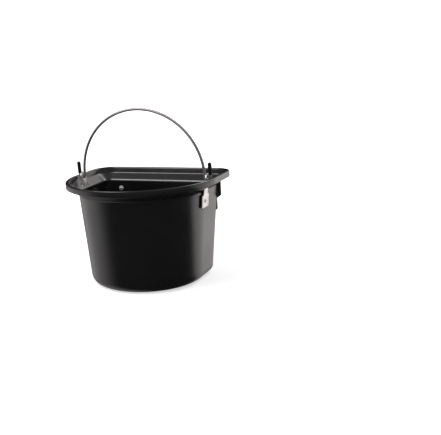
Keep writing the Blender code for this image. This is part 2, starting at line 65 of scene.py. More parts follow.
# Steps along the tub's round front, each of its corners, each bend of the wire and half of the wire's arch
FRONT_STEPS = 96
CORNER_STEPS = 12
BEND_STEPS = 16
ARCH_STEPS = 64
SIDES = {"right": 1, "left": -1}
PIVOT = Vector(frame["joints"][0]["pos_m"])


def length(name, description, default):
    """A length that a user can change."""
    return FloatProperty(
        name=name, description=description, default=default, min=0.0, precision=5, unit="LENGTH"
    )


def angle(name, description, degrees):
    """An angle that a user can change."""
    return FloatProperty(name=name, description=description, default=math.radians(degrees), subtype="ANGLE")


def colour(name, description, default):
    """A colour that a user can change."""
    return FloatVectorProperty(
        name=name, description=description, default=default, size=3, min=0.0, max=1.0, subtype="COLOR"
    )


class FeedBucketTub(PropertyGroup):
    """Sizes of the moulded tub."""

    height: length("Height", "Height of the rim's crown above the floor", 0.268)
    rim_radius: length("Rim radius", "Radius of the rim's round front", 0.200)
    rim_back: length("Rim back", "Distance from the front's centre to the back edge of the rim", 0.138)
    rim_corner: length("Rim corner", "Plan radius of the rim's back corners", 0.052)
    wall: length("Wall", "Thickness of the moulding", 0.003)
    wall_corner: length("Wall corner", "Plan radius of the wall's back corners", 0.020)
    floor_corner: length("Floor corner", "Plan radius of the floor's back corners", 0.006)
    floor_round: length("Floor round", "Radius between wall and floor", 0.023)
    floor_edge: length("Floor edge", "Flat ring outside the floor's corners", 0.002)
    draft: angle("Draft", "Lean of the wall", 4.35)
    overhang: length("Overhang", "Distance from the rim's edge in to the wall's head", 0.032)
    lip: length("Lip", "Height of the rim's outer face", 0.015)
    lip_round: length("Lip round", "Rounding of the lip's lower edge", 0.001)
    crown: length("Crown", "Width of the rim's bead", 0.008)
    bead_taper: length("Bead taper", "Lean of the bead's inner face", 0.0045)
    bead_round: length("Bead round", "Radius at the foot of the bead", 0.004)
    shoulder_drop: length("Shoulder drop", "Fall of the sloping shoulder", 0.016)
    shoulder_round: length("Shoulder round", "Radius between shoulder and wall", 0.006)
    gusset_angle: angle("Gusset angle", "Place of the gusset round the back corner", 25.0)
    gusset_reach: length("Gusset reach", "Distance that a gusset stands out", 0.0085)
    gusset_depth: length("Gusset depth", "Height of a gusset", 0.0405)
    gusset_thick: length("Gusset thickness", "Thickness of a gusset", 0.0035)
    edge_round: length("Edge round", "Rounding of the gussets' and slots' edges", 0.0004)
    mesh_step: length("Mesh step", "Longest stretch of the section and of the straight sides", 0.012)


class FeedBucketEar(PropertyGroup):
    """Sizes of the bail ears and of their seats."""

    place: FloatProperty(
        name="Place", description="Y of the ears", default=-0.004, precision=5, unit="LENGTH"
    )
    rivet_depth: length("Rivet depth", "Depth of the ear's rivet below the crown", 0.0585)
    width: length("Width", "Width of the riveted plate", 0.042)
    height: length("Height", "Height of the riveted plate", 0.032)
    neck: length("Neck", "Width of the neck", 0.0245)
    thickness: length("Thickness", "Thickness of the sheet", 0.0025)
    crank: angle("Crank", "Bend of the neck away from the wall", 5.35)
    shoulder_round: length("Shoulder round", "Radius between plate and neck", 0.002)
    eye: length("Eye", "Radius of the eye", 0.0065)
    eye_play: length("Eye play", "Gap between the eye's top and the wire's top", 0.0006)
    pad_height: length("Pad height", "Height of the moulded seat", 0.0012)
    pad_margin: length("Pad margin", "Distance that the plate stands over its seat", 0.003)
    pad_corner: length("Pad corner", "Corner radius of the seat", 0.004)
    slot_end: length("Slot end", "Play at each end of the slot", 0.003)
    slot_inner: length("Slot inner", "Play on the slot's inner side", 0.001)
    slot_outer: length("Slot outer", "Play on the slot's outer side", 0.0045)
    edge_round: length("Edge round", "Rounding of the pressed edges", 0.00035)


class FeedBucketBail(PropertyGroup):
    """Sizes of the wire bail and its caps."""

    wire: length("Wire radius", "Radius of the wire", 0.0035)
    height: length("Height", "Height of the bail above its pins", 0.177)
    lean: angle("Lean", "Lean of the bail at rest", 4.0)
    bend: length("Bend radius", "Middle radius of the bends at its feet", 0.006)
    leg_play: length("Leg play", "Gap between leg and ear", 0.0007)
    tail_play: length("Tail play", "Gap between cap and ear", 0.0007)
    cap_radius: length("Cap radius", "Radius of a cap", 0.0048)
    cap_length: length("Cap length", "Length of a cap", 0.031)
    cap_end: length("Cap end", "Thickness of a cap's closed end", 0.0025)
    cap_clear: length("Cap clearance", "Distance from the bend to the cap's mouth", 0.0055)


class FeedBucketFasteners(PropertyGroup):
    """Sizes of the hooks' bars and of the rivets and washers."""

    bar_width: length("Bar width", "Width of a hook's bar", 0.020)
    bar_thick: length("Bar thickness", "Thickness of a hook's bar", 0.004)
    bar_edge: length("Bar edge", "Rounding of the bar's edges", 0.0007)
    strip_edge: length("Strip edge", "Distance from the bar's edge to the end of the flat back", 0.001)
    strip_end: length("Strip end", "Distance from the bar's lower end to the floor's rounding", 0.001)
    upper_drop: length("Upper rivet", "Depth of the upper rivet below the hook's arm", 0.022)
    lower_rise: length("Lower rivet", "Height of the lower rivet above the bar's end", 0.0135)
    shank: length("Shank radius", "Radius of a rivet's shank", 0.00195)
    head: length("Head radius", "Radius of a rivet's head", 0.0041)
    head_flat: length("Head flat", "Radius of the flat top of a head", 0.0024)
    head_height: length("Head height", "Height of a head", 0.0013)
    head_edge: length("Head edge", "Height of a head's rim", 0.0005)
    tail: length("Tail radius", "Radius of a set rivet's bulge", 0.003)
    tail_length: length("Tail length", "Length of a set rivet's bulge", 0.004)
    pin: length("Pin radius", "Radius of the pin left in a rivet", 0.0011)
    pin_recess: length("Pin recess", "Depth of the pin's end below the head", 0.0012)
    pin_head: length("Pin head", "Radius of the pin's head", 0.0018)
    pin_head_length: length("Pin head length", "Length of the pin's head", 0.0018)
    washer: length("Washer radius", "Radius of a backing washer", 0.007)
    washer_thick: length("Washer thickness", "Thickness of a backing washer", 0.0012)


class FeedBucketColours(PropertyGroup):
    """Colours of the finishes."""

    plastic: colour("Plastic", "Moulded black plastic", (0.0068, 0.0072, 0.0074))
    coat: colour("Hook coat", "Black coat of the hooks", (0.006, 0.006, 0.0062))
    zinc: colour("Zinc", "Galvanised steel of the bail and ears", (0.72, 0.70, 0.69))
    cap: colour("Cap", "Black of the bail's caps", (0.007, 0.007, 0.007))
    rivet: colour("Rivet", "Bare aluminium of the rivets", (0.76, 0.76, 0.76))
    pin: colour("Pin", "Steel of the rivets' pins", (0.22, 0.22, 0.23))
    washer: colour("Washer", "Zinc plate of the washers", (0.82, 0.79, 0.73))
    floor: colour("Floor", "Pale floor and backdrop", (0.90, 0.90, 0.90))


# Shapes in section and in plan


def foot_z(tub):
    """Height of the shoulder's foot."""
    return tub.height - tub.lip - tub.shoulder_drop


def wall_inset(tub, height):
    """Inset of the wall's outer face at a height."""
    return tub.overhang + (foot_z(tub) - height) * math.tan(tub.draft)


def sagitta(radius, reach):
    """How far a circle falls away from its tangent at a distance along it."""
    return radius - math.sqrt(radius * radius - reach * reach)


def shifted(line, distance):
    """A line of two points, moved to its right."""
    start, end = line
    along = (end - start).normalized()
    right = Vector((along.y, -along.x)) * distance
    return start + right, end + right


def meet(line, other):
    """The point where two lines cross."""
    along = line[1] - line[0]
    across = other[1] - other[0]
    share = (other[0] - line[0]).cross(across) / along.cross(across)
    return line[0] + along * share


def level(height):
    """A horizontal line in a section."""
    return Vector((0.0, height)), Vector((1.0, height))


def quarter(steps):
    """Angles of a quarter turn, in even steps."""
    return [math.pi / 2 * i / steps for i in range(steps + 1)]


def arc(centre, radius, start, end, steps):
    """Points of an arc between two angles."""
    angles = [start + (end - start) * i / steps for i in range(steps + 1)]
    return [Vector((centre[0] + radius * math.cos(a), centre[1] + radius * math.sin(a))) for a in angles]


def corner_arc(before, corner, after, radius, steps):
    """The arc that rounds a corner. A third coordinate blends along it."""
    back = before - corner
    on = after - corner
    half = back.xy.angle(on.xy) / 2
    reach = radius / math.tan(half)
    start = corner + back * (reach / back.xy.length)
    end = corner + on * (reach / on.xy.length)
    bisector = (back.xy.normalized() + on.xy.normalized()).normalized()
    centre = corner.xy + bisector * (radius / math.sin(half))
    first = math.atan2(start.y - centre.y, start.x - centre.x)
    last = math.atan2(end.y - centre.y, end.x - centre.x)
    turn = (last - first + math.pi) % (2 * math.pi) - math.pi
    points = []
    for i, point in enumerate(arc(centre, radius, first, first + turn, steps)):
        points.append(Vector((point.x, point.y, start.z + (end.z - start.z) * i / steps)))
    return points


def rounded(corners, closed=True):
    """A polyline through corners of (point, radius, steps), with an arc at each that has a radius."""
    points = []
    count = len(corners)
    for i, (point, radius, steps) in enumerate(corners):
        if radius > 0 and (closed or 0 < i < count - 1):
            points.extend(corner_arc(corners[i - 1][0], point, corners[(i + 1) % count][0], radius, steps))
        else:
            points.append(point)
    return points


def divided(points, longest):
    """A polyline with its long stretches divided evenly."""
    made = [points[0]]
    for start, end in zip(points, points[1:]):
        count = max(1, math.ceil((end.xy - start.xy).length / longest))
        made.extend(start.lerp(end, i / count) for i in range(1, count + 1))
    return made


def tub_section(tub):
    """Named corners of the tub's wall, as (inset, height)."""
    lip_z = tub.height - tub.lip
    outer_wall = Vector((wall_inset(tub, 0.0), 0.0)), Vector((tub.overhang, foot_z(tub)))
    inner_wall = shifted(outer_wall, tub.wall)
    bead_foot = Vector((tub.crown + tub.bead_taper, lip_z))
    shoulder = bead_foot, Vector((tub.overhang + tub.wall, foot_z(tub)))
    under_shoulder = shifted(shoulder, tub.wall)
    bead_face = Vector((tub.crown, tub.height)), bead_foot
    groove_face = shifted(bead_face, tub.wall)
    return {
        "floor_edge": outer_wall[0],
        "foot": meet(outer_wall, under_shoulder),
        "knee": meet(groove_face, under_shoulder),
        "groove_in": meet(groove_face, level(tub.height - tub.wall)),
        "groove_out": Vector((tub.wall, tub.height - tub.wall)),
        "lip_in": Vector((tub.wall, lip_z)),
        "lip_out": Vector((0.0, lip_z)),
        "crown_out": Vector((0.0, tub.height)),
        "crown_in": bead_face[0],
        "bead_foot": bead_foot,
        "mouth": meet(inner_wall, shoulder),
        "inner_floor_edge": meet(inner_wall, level(tub.wall)),
    }


def tub_profile(tub):
    """The section from the underside over the rim to the inner floor, as (inset, height, plan radius)."""
    at = tub_section(tub)
    inner_round = tub.floor_round - tub.wall
    crown_round = tub.crown / 2
    crown_edge = tub.crown / 4
    groove_round = tub.lip_round / 2
    underside = Vector((at["floor_edge"].x + tub.floor_round + tub.floor_edge, 0.0))
    inner_floor = Vector((at["inner_floor_edge"].x + inner_round + tub.floor_edge, tub.wall))
    inner_corner = tub.wall_corner - tub.wall
    skin = {name: tub.rim_corner - point.x for name, point in at.items()}
    # Place, plan radius, rounding and steps of each corner
    corners = [
        (underside, tub.floor_corner, 0.0, 0),
        (at["floor_edge"], tub.wall_corner, tub.floor_round, 14),
        (at["foot"], tub.wall_corner, tub.shoulder_round, 10),
        (at["knee"], skin["knee"], tub.bead_round, 8),
        (at["groove_in"], skin["groove_in"], groove_round, 3),
        (at["groove_out"], skin["groove_out"], groove_round, 3),
        (at["lip_in"], skin["lip_in"], groove_round, 3),
        (at["lip_out"], tub.rim_corner, tub.lip_round, 5),
        (at["crown_out"], tub.rim_corner, crown_edge, 12),
        (at["crown_in"], skin["crown_in"], crown_round, 10),
        (at["bead_foot"], skin["bead_foot"], tub.bead_round, 8),
        (at["mouth"], inner_corner, tub.shoulder_round + tub.wall, 12),
        (at["inner_floor_edge"], inner_corner, inner_round, 14),
        (inner_floor, tub.floor_corner, 0.0, 0),
    ]
    path = rounded([(Vector((p.x, p.y, plan)), r, s) for p, plan, r, s in corners], closed=False)
    return divided(path, tub.mesh_step)


def tub_plan(tub):
    """Points of the outline, each as its directions by radius, by corner radius and by back distance."""
    none = Vector()
    front = []
    for i in range(FRONT_STEPS + 1):
        turn = math.pi + math.pi * i / FRONT_STEPS
        front.append((Vector((math.cos(turn), math.sin(turn), 0.0)), none, none))
    points = front[:]
    lengths = (tub.rim_back, 2 * tub.rim_radius)
    for side, start, length_before in zip((1, -1), (0.0, math.pi / 2), lengths):
        corner = []
        for part in quarter(CORNER_STEPS):
            turn = start + part
            bend = Vector((math.cos(turn) - side, math.sin(turn) - 1.0, 0.0))
            corner.append((Vector((side, 0.0, 0.0)), bend, Vector((0.0, 1.0, 0.0))))
        points += straight(points[-1], corner[0], round(length_before / tub.mesh_step)) + corner
    return points + straight(points[-1], front[0], round(tub.rim_back / tub.mesh_step))


def straight(start, end, steps):
    """Points of an outline between two others."""
    return [tuple(a.lerp(b, i / steps) for a, b in zip(start, end)) for i in range(1, steps)]


def corner_point(tub, inset, corner, turn):
    """A point on the right back corner of an outline."""
    x = tub.rim_radius - inset - corner
    y = tub.rim_back - inset - corner
    return Vector((x + corner * math.cos(turn), y + corner * math.sin(turn)))


# Places of the ears, rivets and bail


def placing(origin, across, up, out):
    """A placing whose X, Y and Z run across, up and out."""
    return Matrix.Translation(origin) @ Matrix((across, up, out)).transposed().to_4x4()


def ear_place(tub, ear, side):
    """The seat of an ear: its rivet's place on the wall, with Z out of the wall."""
    sine, cosine = math.sin(tub.draft), math.cos(tub.draft)
    height = tub.height - ear.rivet_depth
    origin = (side * (tub.rim_radius - wall_inset(tub, height)), ear.place, height)
    return placing(origin, (0.0, side, 0.0), (side * sine, 0.0, cosine), (side * cosine, 0.0, -sine))


def back_place(tub, x, height):
    """A place on the flat back, with Z out of the wall and Y up along it."""
    sine, cosine = math.sin(tub.draft), math.cos(tub.draft)
    origin = (x, tub.rim_back - wall_inset(tub, height), height)
    return placing(origin, (-1.0, 0.0, 0.0), (0.0, sine, cosine), (0.0, cosine, -sine))


def ear_middle(ear):
    """Distance of an ear's middle plane from the wall that carries it."""
    return ear.pad_height + GAP + ear.thickness / 2


def crank_height(ear):
    """Height of the crank above the rivet, along the ear."""
    return ear.height / 2 + ear.shoulder_round


def crank_z(tub, ear):
    """Height of the crank above the floor."""
    rise = crank_height(ear) * math.cos(tub.draft) - ear_middle(ear) * math.sin(tub.draft)
    return tub.height - ear.rivet_depth + rise


def neck_place(tub, ear, side):
    """The cranked upper part of an ear: Y runs up the neck from the crank, on its middle plane."""
    seat = Matrix.Translation((0.0, crank_height(ear), ear_middle(ear)))
    return ear_place(tub, ear, side) @ seat @ Matrix.Rotation(ear.crank, 4, "X")


def bail_legs(tub, ear, bail):
    """Distances from the middle of the bail's leg, inside the ear, and of its capped tail, outside it."""
    lean = tub.draft + ear.crank
    eye_rise = ear.eye - ear.eye_play - bail.wire
    eye_height = (PIVOT.z + eye_rise - crank_z(tub, ear)) / math.cos(lean)
    eye = neck_place(tub, ear, 1) @ Vector((0.0, eye_height, 0.0))
    pin = eye.x - eye_rise * math.tan(lean)
    half = ear.thickness / 2 / math.cos(lean)
    leg = pin - half - bail.leg_play - bail.wire
    tail = pin + half + (eye_rise + ear.neck / 2) * math.tan(lean) + bail.tail_play + bail.cap_radius
    return leg, tail


def bail_bend(tub, ear, bail):
    """Middle radius of the bends at the bail's feet."""
    leg, tail = bail_legs(tub, ear, bail)
    return min(bail.bend, (tail - leg) / 2)


def bail_frame(bail):
    """Placing of the bail's own plane at rest."""
    return Matrix.Translation(PIVOT) @ Matrix.Rotation(bail.lean, 4, "X")


def bail_path(tub, ear, bail):
    """Middle line of the wire in its own plane, from its right tail to its left one."""
    leg, tail = bail_legs(tub, ear, bail)
    bend = bail_bend(tub, ear, bail)
    tip = bend + bail.cap_clear + bail.cap_length - bail.cap_end - GAP
    half = [Vector((tail, tip))]
    half += arc((tail - bend, bend), bend, 0.0, -math.pi / 2, BEND_STEPS)
    half += arc((leg + bend, bend), bend, -math.pi / 2, -math.pi, BEND_STEPS)
    rise = bail.height - bend
    for turn in quarter(ARCH_STEPS)[1:-1]:
        half.append(Vector((leg * math.cos(turn), bend + rise * math.sin(turn))))
    return half + [Vector((0.0, bail.height))] + [Vector((-p.x, p.y)) for p in reversed(half)]


def strip_end_z(tub, fasteners):
    """Lower end of a hook's strip."""
    return tub.floor_round + fasteners.strip_end


def hook_x(tub, fasteners):
    """Middle of a hook's strip."""
    flat = tub.rim_radius - wall_inset(tub, strip_end_z(tub, fasteners)) - tub.wall_corner
    return flat - fasteners.strip_edge - fasteners.bar_width / 2


def hook_rivet_places(tub, fasteners):
    """Placings of the four rivets in the hooks' strips."""
    heights = (
        tub_section(tub)["foot"].y - fasteners.upper_drop,
        strip_end_z(tub, fasteners) + fasteners.lower_rise,
    )
    return [back_place(tub, side * hook_x(tub, fasteners), z) for side in SIDES.values() for z in heights]


# Meshes and objects


def coat(mesh, finish):
    """Give a mesh its one material."""
    mesh.materials.clear()
    mesh.materials.append(finish)


def add_object(name, data, finish=None):
    """An object at the origin, with its material if it has one."""
    made = bpy.data.objects.new(name, data)
    bpy.context.scene.collection.objects.link(made)
    if finish is not None:
        coat(data, finish)
    return made


def plain_mesh(made):
    """The mesh that an object shows with its modifiers. The object is removed."""
    seen = bpy.context.evaluated_depsgraph_get()
    shown = made.evaluated_get(seen)
    mesh = bpy.data.meshes.new_from_object(shown, preserve_all_data_layers=True, depsgraph=seen)
    mesh.name = made.name
    bpy.data.objects.remove(made)
    return mesh


def settled(made):
    """Turn a mesh object with modifiers into a plain one."""
    name = made.name
    made.data.update()
    return add_object(name, plain_mesh(made))


def finished(made, body, slot, *nodes):
    """Hand a piece to the frame."""
    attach(made, body)
    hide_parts(*nodes)


def written(body, mesh):
    """Turn a body's faces outwards and write it into a mesh."""
    bmesh.ops.recalc_face_normals(body, faces=body.faces)
    body.to_mesh(mesh)
    body.free()
    return mesh


def plate_mesh(name, outline, thickness):
    """A flat plate on its middle plane, inside an outline."""
    body = bmesh.new()
    low = [body.verts.new((p.x, p.y, -thickness / 2)) for p in outline]
    high = [body.verts.new((p.x, p.y, thickness / 2)) for p in outline]
    body.faces.new(reversed(low))
    body.faces.new(high)
    for i in range(len(low)):
        j = (i + 1) % len(low)
        body.faces.new((low[i], low[j], high[j], high[i]))
    return written(body, bpy.data.meshes.new(name))


def turned_mesh(name, profile, steps=40):
    """A turned body from a profile of (radius, height), closed on its axis or into a ring."""
    body = bmesh.new()
    verts = [body.verts.new((radius, 0.0, height)) for radius, height in profile]
    edges = [body.edges.new(pair) for pair in zip(verts, verts[1:])]
    if profile[0][0] > 1e-6:
        edges.append(body.edges.new((verts[-1], verts[0])))
    bmesh.ops.spin(
        body,
        geom=verts + edges,
        cent=(0, 0, 0),
        axis=(0, 0, 1),
        angle=2 * math.pi,
        steps=steps,
        use_merge=True,
    )
    bmesh.ops.remove_doubles(body, verts=body.verts, dist=1e-7)
    mesh = written(body, bpy.data.meshes.new(name))
    mesh.shade_smooth()
    mesh.set_sharp_from_angle(angle=CREASE)
    return mesh


def eased(made, width, sharp):
    """Round an object's sharp edges, with its flats kept flat in the light."""
    made.data.shade_smooth()
    step = made.modifiers.new("Edge", "BEVEL")
    step.width = width
    step.segments = 3
    step.limit_method = "ANGLE"
    step.angle_limit = sharp
    step.harden_normals = True
    step.miter_outer = "MITER_ARC"
    return settled(made)


def eased_copy(name, node, finish, width):
    """A copy of a flat metal piece of the packed model, with its edges rounded."""
    mesh = frame["nodes"][node].data.copy()
    mesh.name = name
    body = bmesh.new()
    body.from_mesh(mesh)
    bmesh.ops.remove_doubles(body, verts=body.verts, dist=2e-6)
    bmesh.ops.dissolve_limit(
        body,
        angle_limit=math.radians(0.6),
        verts=body.verts,
        edges=body.edges,
        use_dissolve_boundaries=False,
    )
    body.to_mesh(mesh)
    body.free()
    return eased(add_object(name, mesh, finish), width, sharp=math.radians(35.0))


# Geometry nodes


def new_tree(name, inputs):
    """A geometry node tree with inputs of (name, kind), and its input and output nodes."""
    tree = bpy.data.node_groups.new(name, "GeometryNodeTree")
    tree.interface.new_socket("Geometry", in_out="INPUT", socket_type="NodeSocketGeometry")
    for label, kind in inputs:
        tree.interface.new_socket(label, in_out="INPUT", socket_type=kind)
    tree.interface.new_socket("Geometry", in_out="OUTPUT", socket_type="NodeSocketGeometry")
    return tree, tree.nodes.new("NodeGroupInput"), tree.nodes.new("NodeGroupOutput")


def add_node(tree, kind, inputs=None, **settings):
    """A node with settings, and with inputs that are values or sockets."""
    made = tree.nodes.new(kind)
    for key, value in settings.items():
        setattr(made, key, value)
    for key, value in (inputs or {}).items():
        if isinstance(value, bpy.types.NodeSocket):
            tree.links.new(value, made.inputs[key])
        else:
            made.inputs[key].default_value = value
    return made


def sum_of(tree, operation, first, second):
    """One step of arithmetic on two values or sockets."""
    return add_node(tree, "ShaderNodeMath", {0: first, 1: second}, operation=operation).outputs[0]


def plus(tree, first, *others):
    """The sum of values or sockets."""
    for other in others:
        first = sum_of(tree, "ADD", first, other)
    return first


def times(tree, first, *others):
    """The product of values or sockets."""
    for other in others:
        first = sum_of(tree, "MULTIPLY", first, other)
    return first


def mixed(tree, share, first, second):
    """A value between two values or sockets, by a share."""
    return add_node(tree, "ShaderNodeMix", {0: share, 2: first, 3: second}).outputs[0]


def vector_of(tree, operation, first, second):
    """One step of vector arithmetic on two sockets."""
    return add_node(tree, "ShaderNodeVectorMath", {0: first, 1: second}, operation=operation).outputs[0]


def close_tree(tree, out, shape, finish):
    """End a tree with real geometry and its material."""
    real = add_node(tree, "GeometryNodeRealizeInstances", {"Geometry": shape})
    coated = add_node(tree, "GeometryNodeSetMaterial", {"Geometry": real.outputs[0], "Material": finish})
    tree.links.new(coated.outputs[0], out.inputs[0])


def run_tree(made, tree, values):
    """Put a tree on an object, with its inputs by name."""
    step = made.modifiers.new(tree.name, "NODES")
    step.node_group = tree
    for item in tree.interface.items_tree:
        if item.in_out == "INPUT" and item.name in values:
            step[item.identifier] = values[item.name]
    return made


def tub_tree():
    """Loft: every section point takes the whole plan, at its own radius, corner and height."""
    tree, start, out = new_tree(
        "Tub from section and plan",
        [
            ("Plan", "NodeSocketObject"),
            ("Rim radius", "NodeSocketFloat"),
            ("Rim back", "NodeSocketFloat"),
            ("Finish", "NodeSocketMaterial"),
        ],
    )
    section = start.outputs["Geometry"]
    plan = add_node(tree, "GeometryNodeObjectInfo", {"Object": start.outputs["Plan"]}).outputs["Geometry"]
    section_count = add_node(tree, "GeometryNodeAttributeDomainSize", {0: section}).outputs["Point Count"]
    plan_count = add_node(tree, "GeometryNodeAttributeDomainSize", {0: plan}).outputs["Point Count"]
    row = plus(tree, plan_count, 1.0)
    grid = add_node(tree, "GeometryNodeMeshGrid", {"Vertices X": section_count, "Vertices Y": row})
    # The quarter keeps the division from falling short of a whole row
    index = plus(tree, add_node(tree, "GeometryNodeInputIndex").outputs[0], 0.25)
    ring = sum_of(tree, "FLOOR", sum_of(tree, "DIVIDE", index, row), 0.0)
    place = sum_of(tree, "SUBTRACT", index, times(tree, ring, row))
    turn = sum_of(tree, "MODULO", place, plan_count)

    def sampled(shape, kind, value, at):
        """A value of one point of a shape."""
        made = add_node(tree, "GeometryNodeSampleIndex", {"Geometry": shape, "Index": at}, data_type=kind)
        tree.links.new(value, made.inputs["Value"])
        return made.outputs[0]

    def named(label, kind):
        """A named attribute."""
        return add_node(tree, "GeometryNodeInputNamedAttribute", {"Name": label}, data_type=kind).outputs[0]

    position = add_node(tree, "GeometryNodeInputPosition").outputs[0]
    point = add_node(tree, "ShaderNodeSeparateXYZ", {0: sampled(section, "FLOAT_VECTOR", position, ring)})
    spread = sampled(section, "FLOAT", named("spread", "FLOAT"), ring)
    inset, corner, height = point.outputs
    radius = sum_of(tree, "SUBTRACT", start.outputs["Rim radius"], inset)
    back = sum_of(tree, "SUBTRACT", start.outputs["Rim back"], inset)
    total = None
    for label, size in (("by_radius", radius), ("by_corner", corner), ("by_back", back)):
        direction = sampled(plan, "FLOAT_VECTOR", named(label, "FLOAT_VECTOR"), turn)
        share = add_node(tree, "ShaderNodeVectorMath", {0: direction}, operation="SCALE")
        tree.links.new(times(tree, size, spread), share.inputs["Scale"])
        total = share.outputs[0] if total is None else vector_of(tree, "ADD", total, share.outputs[0])
    up = add_node(tree, "ShaderNodeCombineXYZ", {"Z": height}).outputs[0]
    shaped = add_node(
        tree,
        "GeometryNodeSetPosition",
        {"Geometry": grid.outputs["Mesh"], "Position": vector_of(tree, "ADD", total, up)},
    )
    joined = {"Geometry": shaped.outputs[0], "Distance": 1e-6}
    merged = add_node(tree, "GeometryNodeMergeByDistance", joined)
    smooth = add_node(tree, "GeometryNodeSetShadeSmooth", {"Geometry": merged.outputs[0]})
    close_tree(tree, out, smooth.outputs[0], start.outputs["Finish"])
    return tree


def wire_tree():
    """A round wire along a path."""
    inputs = [("Radius", "NodeSocketFloat"), ("Sides", "NodeSocketInt"), ("Finish", "NodeSocketMaterial")]
    tree, start, out = new_tree("Wire along its path", inputs)
    ring = add_node(
        tree,
        "GeometryNodeCurvePrimitiveCircle",
        {"Resolution": start.outputs["Sides"], "Radius": start.outputs["Radius"]},
    )
    tube = add_node(
        tree,
        "GeometryNodeCurveToMesh",
        {"Curve": start.outputs["Geometry"], "Profile Curve": ring.outputs["Curve"], "Fill Caps": True},
    )
    smooth = add_node(tree, "GeometryNodeSetShadeSmooth", {"Geometry": tube.outputs[0]})
    close_tree(tree, out, smooth.outputs[0], start.outputs["Finish"])
    return tree


def set_tree():
    """One pattern set at every place, turned as the place says."""
    inputs = [("Pattern", "NodeSocketObject"), ("Finish", "NodeSocketMaterial")]
    tree, start, out = new_tree("Pattern at its places", inputs)
    pattern = add_node(tree, "GeometryNodeObjectInfo", {"Object": start.outputs["Pattern"]})
    turn = add_node(tree, "GeometryNodeInputNamedAttribute", {"Name": "turn"}, data_type="QUATERNION")
    spots = add_node(
        tree,
        "GeometryNodeInstanceOnPoints",
        {
            "Points": start.outputs["Geometry"],
            "Instance": pattern.outputs["Geometry"],
            "Rotation": turn.outputs["Attribute"],
        },
    )
    close_tree(tree, out, spots.outputs[0], start.outputs["Finish"])
    return tree


def set_pattern(name, mesh, places, finish):
    """A piece made of one pattern at several placings."""
    pattern = add_object(f"{name}_pattern", mesh)
    points = bpy.data.meshes.new(name)
    points.from_pydata([place.to_translation() for place in places], [], [])
    turn = points.attributes.new("turn", "QUATERNION", "POINT")
    for target, place in zip(turn.data, places):
        target.value = place.to_quaternion()
    made = add_object(name, points)
    made = settled(run_tree(made, set_tree(), {"Pattern": pattern, "Finish": finish}))
    bpy.data.objects.remove(pattern)
    return made


# Finishes


def new_group(name, inputs, outputs):
    """A shader node group with named inputs of (name, default) and value outputs."""
    tree = bpy.data.node_groups.new(name, "ShaderNodeTree")
    for label, default in inputs:
        socket = tree.interface.new_socket(label, in_out="INPUT", socket_type="NodeSocketFloat")
        socket.default_value = default
    for label in outputs:
        tree.interface.new_socket(label, in_out="OUTPUT", socket_type="NodeSocketFloat")
    return tree, tree.nodes.new("NodeGroupInput"), tree.nodes.new("NodeGroupOutput")


def object_point(tree):
    """The point on the piece, in metres."""
    return add_node(tree, "ShaderNodeTexCoord").outputs["Object"]


def noise(tree, point, scale, detail=2.0, roughness=0.5):
    """A noise value at a point."""
    inputs = {"Vector": point, "Scale": scale, "Detail": detail, "Roughness": roughness}
    return add_node(tree, "ShaderNodeTexNoise", inputs).outputs[0]


def wandering(tree, point, scale, reach):
    """A point moved about by noise."""
    made = add_node(tree, "ShaderNodeTexNoise", {"Vector": point, "Scale": scale, "Detail": 2.0})
    shift = vector_of(tree, "MULTIPLY", made.outputs["Color"], Vector((reach, reach, reach)))
    return vector_of(tree, "ADD", point, shift)


def ranged(tree, value, low, high, to_low=0.0, to_high=1.0):
    """A value taken smoothly from one range to another."""
    made = add_node(
        tree,
        "ShaderNodeMapRange",
        {"Value": value, "From Min": low, "From Max": high, "To Min": to_low, "To Max": to_high},
        interpolation_type="SMOOTHSTEP",
    )
    return made.outputs[0]


def grain_group():
    """Fine surface grain: a height for bump, and a slow variation over the surface."""
    name = "Surface grain"
    if name in bpy.data.node_groups:
        return bpy.data.node_groups[name]
    tree, start, out = new_group(name, [("Grain scale", 900.0), ("Drift scale", 25.0)], ["Height", "Drift"])
    point = object_point(tree)
    tree.links.new(noise(tree, point, start.outputs["Grain scale"], 3.0), out.inputs["Height"])
    tree.links.new(noise(tree, point, start.outputs["Drift scale"], 3.0, 0.55), out.inputs["Drift"])
    return tree


def handling_group():
    """Handling marks: fine rubbed lines in patches, and dust on what faces up."""
    name = "Handling marks"
    if name in bpy.data.node_groups:
        return bpy.data.node_groups[name]
    tree, start, out = new_group(name, [("Line scale", 45.0), ("Amount", 0.5)], ["Rub", "Dust"])
    point = object_point(tree)
    bent = wandering(tree, point, 12.0, 0.02)
    slant, stretch = (0.3, 0.5, 0.2), (30.0, 30.0, 1.2)
    drawn = add_node(tree, "ShaderNodeMapping", {"Vector": bent, "Rotation": slant, "Scale": stretch})
    lines = ranged(tree, noise(tree, drawn.outputs[0], start.outputs["Line scale"], 1.0), 0.66, 0.72)
    patch = ranged(tree, noise(tree, point, 9.0, 2.0), 0.5, 0.72)
    tree.links.new(times(tree, lines, patch, start.outputs["Amount"]), out.inputs["Rub"])
    normal = add_node(tree, "ShaderNodeNewGeometry").outputs["Normal"]
    up = add_node(tree, "ShaderNodeSeparateXYZ", {0: normal}).outputs["Z"]
    lying = ranged(tree, up, 0.35, 1.0)
    specks = ranged(tree, noise(tree, point, 420.0, 4.0, 0.7), 0.56, 0.74)
    tree.links.new(times(tree, lying, specks, start.outputs["Amount"]), out.inputs["Dust"])
    return tree


